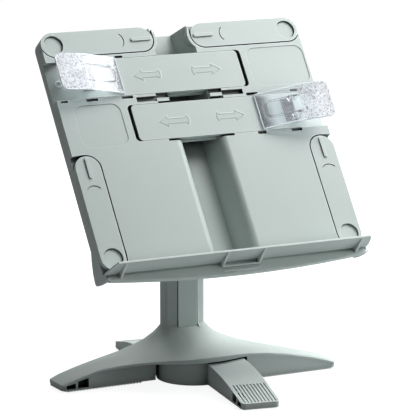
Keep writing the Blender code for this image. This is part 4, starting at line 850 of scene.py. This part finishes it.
world = bpy.data.worlds.new("studioWorld")
bpy.context.scene.world = world
world.use_nodes = True
worldTree = world.node_tree
dim = worldTree.nodes["Background"]
dim.inputs["Color"].default_value = hexColour(studio["ambientTint"])
dim.inputs["Strength"].default_value = studio["ambient"]
white = addNode(worldTree, "ShaderNodeBackground", {"Color": hexColour("#ffffff"), "Strength": 1.0})
either = addNode(worldTree, "ShaderNodeMixShader", None,
                 {0: (seenDirectly(worldTree), 0), 1: (dim, 0), 2: (white, 0)})
worldTree.links.new(either.outputs[0], worldTree.nodes["World Output"].inputs["Surface"])


def whiteFloor():
    # a matte sheet that shows white, with the object's shadow kept faint
    mesh = bpy.data.meshes.new("floor")
    build = bmesh.new()
    bmesh.ops.create_grid(build, x_segments=2, y_segments=2, size=studio["floorHalfM"])
    build.to_mesh(mesh)
    build.free()
    floor = bpy.data.objects.new("floor", mesh)
    bpy.context.scene.collection.objects.link(floor)
    floor.location = (0.0, 0.0, cadBox[0].z - studio["floorDropM"])
    material = bpy.data.materials.new("paintedSheet")
    material.use_nodes = True
    tree = material.node_tree
    matte = tree.nodes["Principled BSDF"]
    matte.inputs["Base Color"].default_value = hexColour(studio["floorColour"])
    matte.inputs["Roughness"].default_value = studio["floorRoughness"]
    matte.inputs["Specular IOR Level"].default_value = 0.0
    glow = addNode(tree, "ShaderNodeEmission", {"Color": hexColour("#ffffff")})
    place = addNode(tree, "ShaderNodeTexCoord")
    away = addNode(tree, "ShaderNodeVectorMath", {"operation": "LENGTH"}, {0: (place, "Object")})
    paler = addNode(tree, "ShaderNodeMapRange",
                    {"From Min": studio["whiteFromM"], "From Max": studio["whiteFullM"],
                     "To Min": studio["floorWhite"], "To Max": 1.0}, {"Value": (away, "Value")})
    level = addNode(tree, "ShaderNodeMath", {"operation": "MULTIPLY"},
                    {0: (seenDirectly(tree), 0), 1: (paler, "Result")})
    lit = addNode(tree, "ShaderNodeMath", {"operation": "MAXIMUM", 1: studio["floorGlow"]},
                  {0: (level, 0)})
    tree.links.new(lit.outputs[0], glow.inputs["Strength"])
    both = addNode(tree, "ShaderNodeAddShader", None, {0: (matte, 0), 1: (glow, 0)})
    tree.links.new(both.outputs[0], tree.nodes["Material Output"].inputs["Surface"])
    mesh.materials.append(material)


whiteFloor()
print("studio set")


# Camera: the photograph's own long view from the left

shot = {"azimuthDeg": 27.4, "elevationDeg": 11.1, "aimMm": (23.3, 12.5, 177.5),
        "distanceMm": 2966.6, "focalPixels": 2816.7, "framePixels": 416.0, "sensorMm": 36.0,
        "reachM": 50.0}


def photoCamera():
    azimuth = math.radians(shot["azimuthDeg"])
    elevation = math.radians(shot["elevationDeg"])
    look = Vector((math.sin(azimuth) * math.cos(elevation),
                   math.cos(azimuth) * math.cos(elevation), -math.sin(elevation)))
    data = bpy.data.cameras.new("photoCamera")
    data.sensor_width = shot["sensorMm"]
    data.lens = shot["focalPixels"] * shot["sensorMm"] / shot["framePixels"]
    data.clip_end = shot["reachM"]
    camera = bpy.data.objects.new("photoCamera", data)
    camera.location = (Vector(shot["aimMm"]) - look * shot["distanceMm"]) / 1000.0
    camera.rotation_euler = look.to_track_quat("-Z", "Y").to_euler()
    bpy.context.scene.collection.objects.link(camera)
    bpy.context.scene.camera = camera


photoCamera()
bpy.context.scene.view_settings.view_transform = "Standard"
print("camera set")
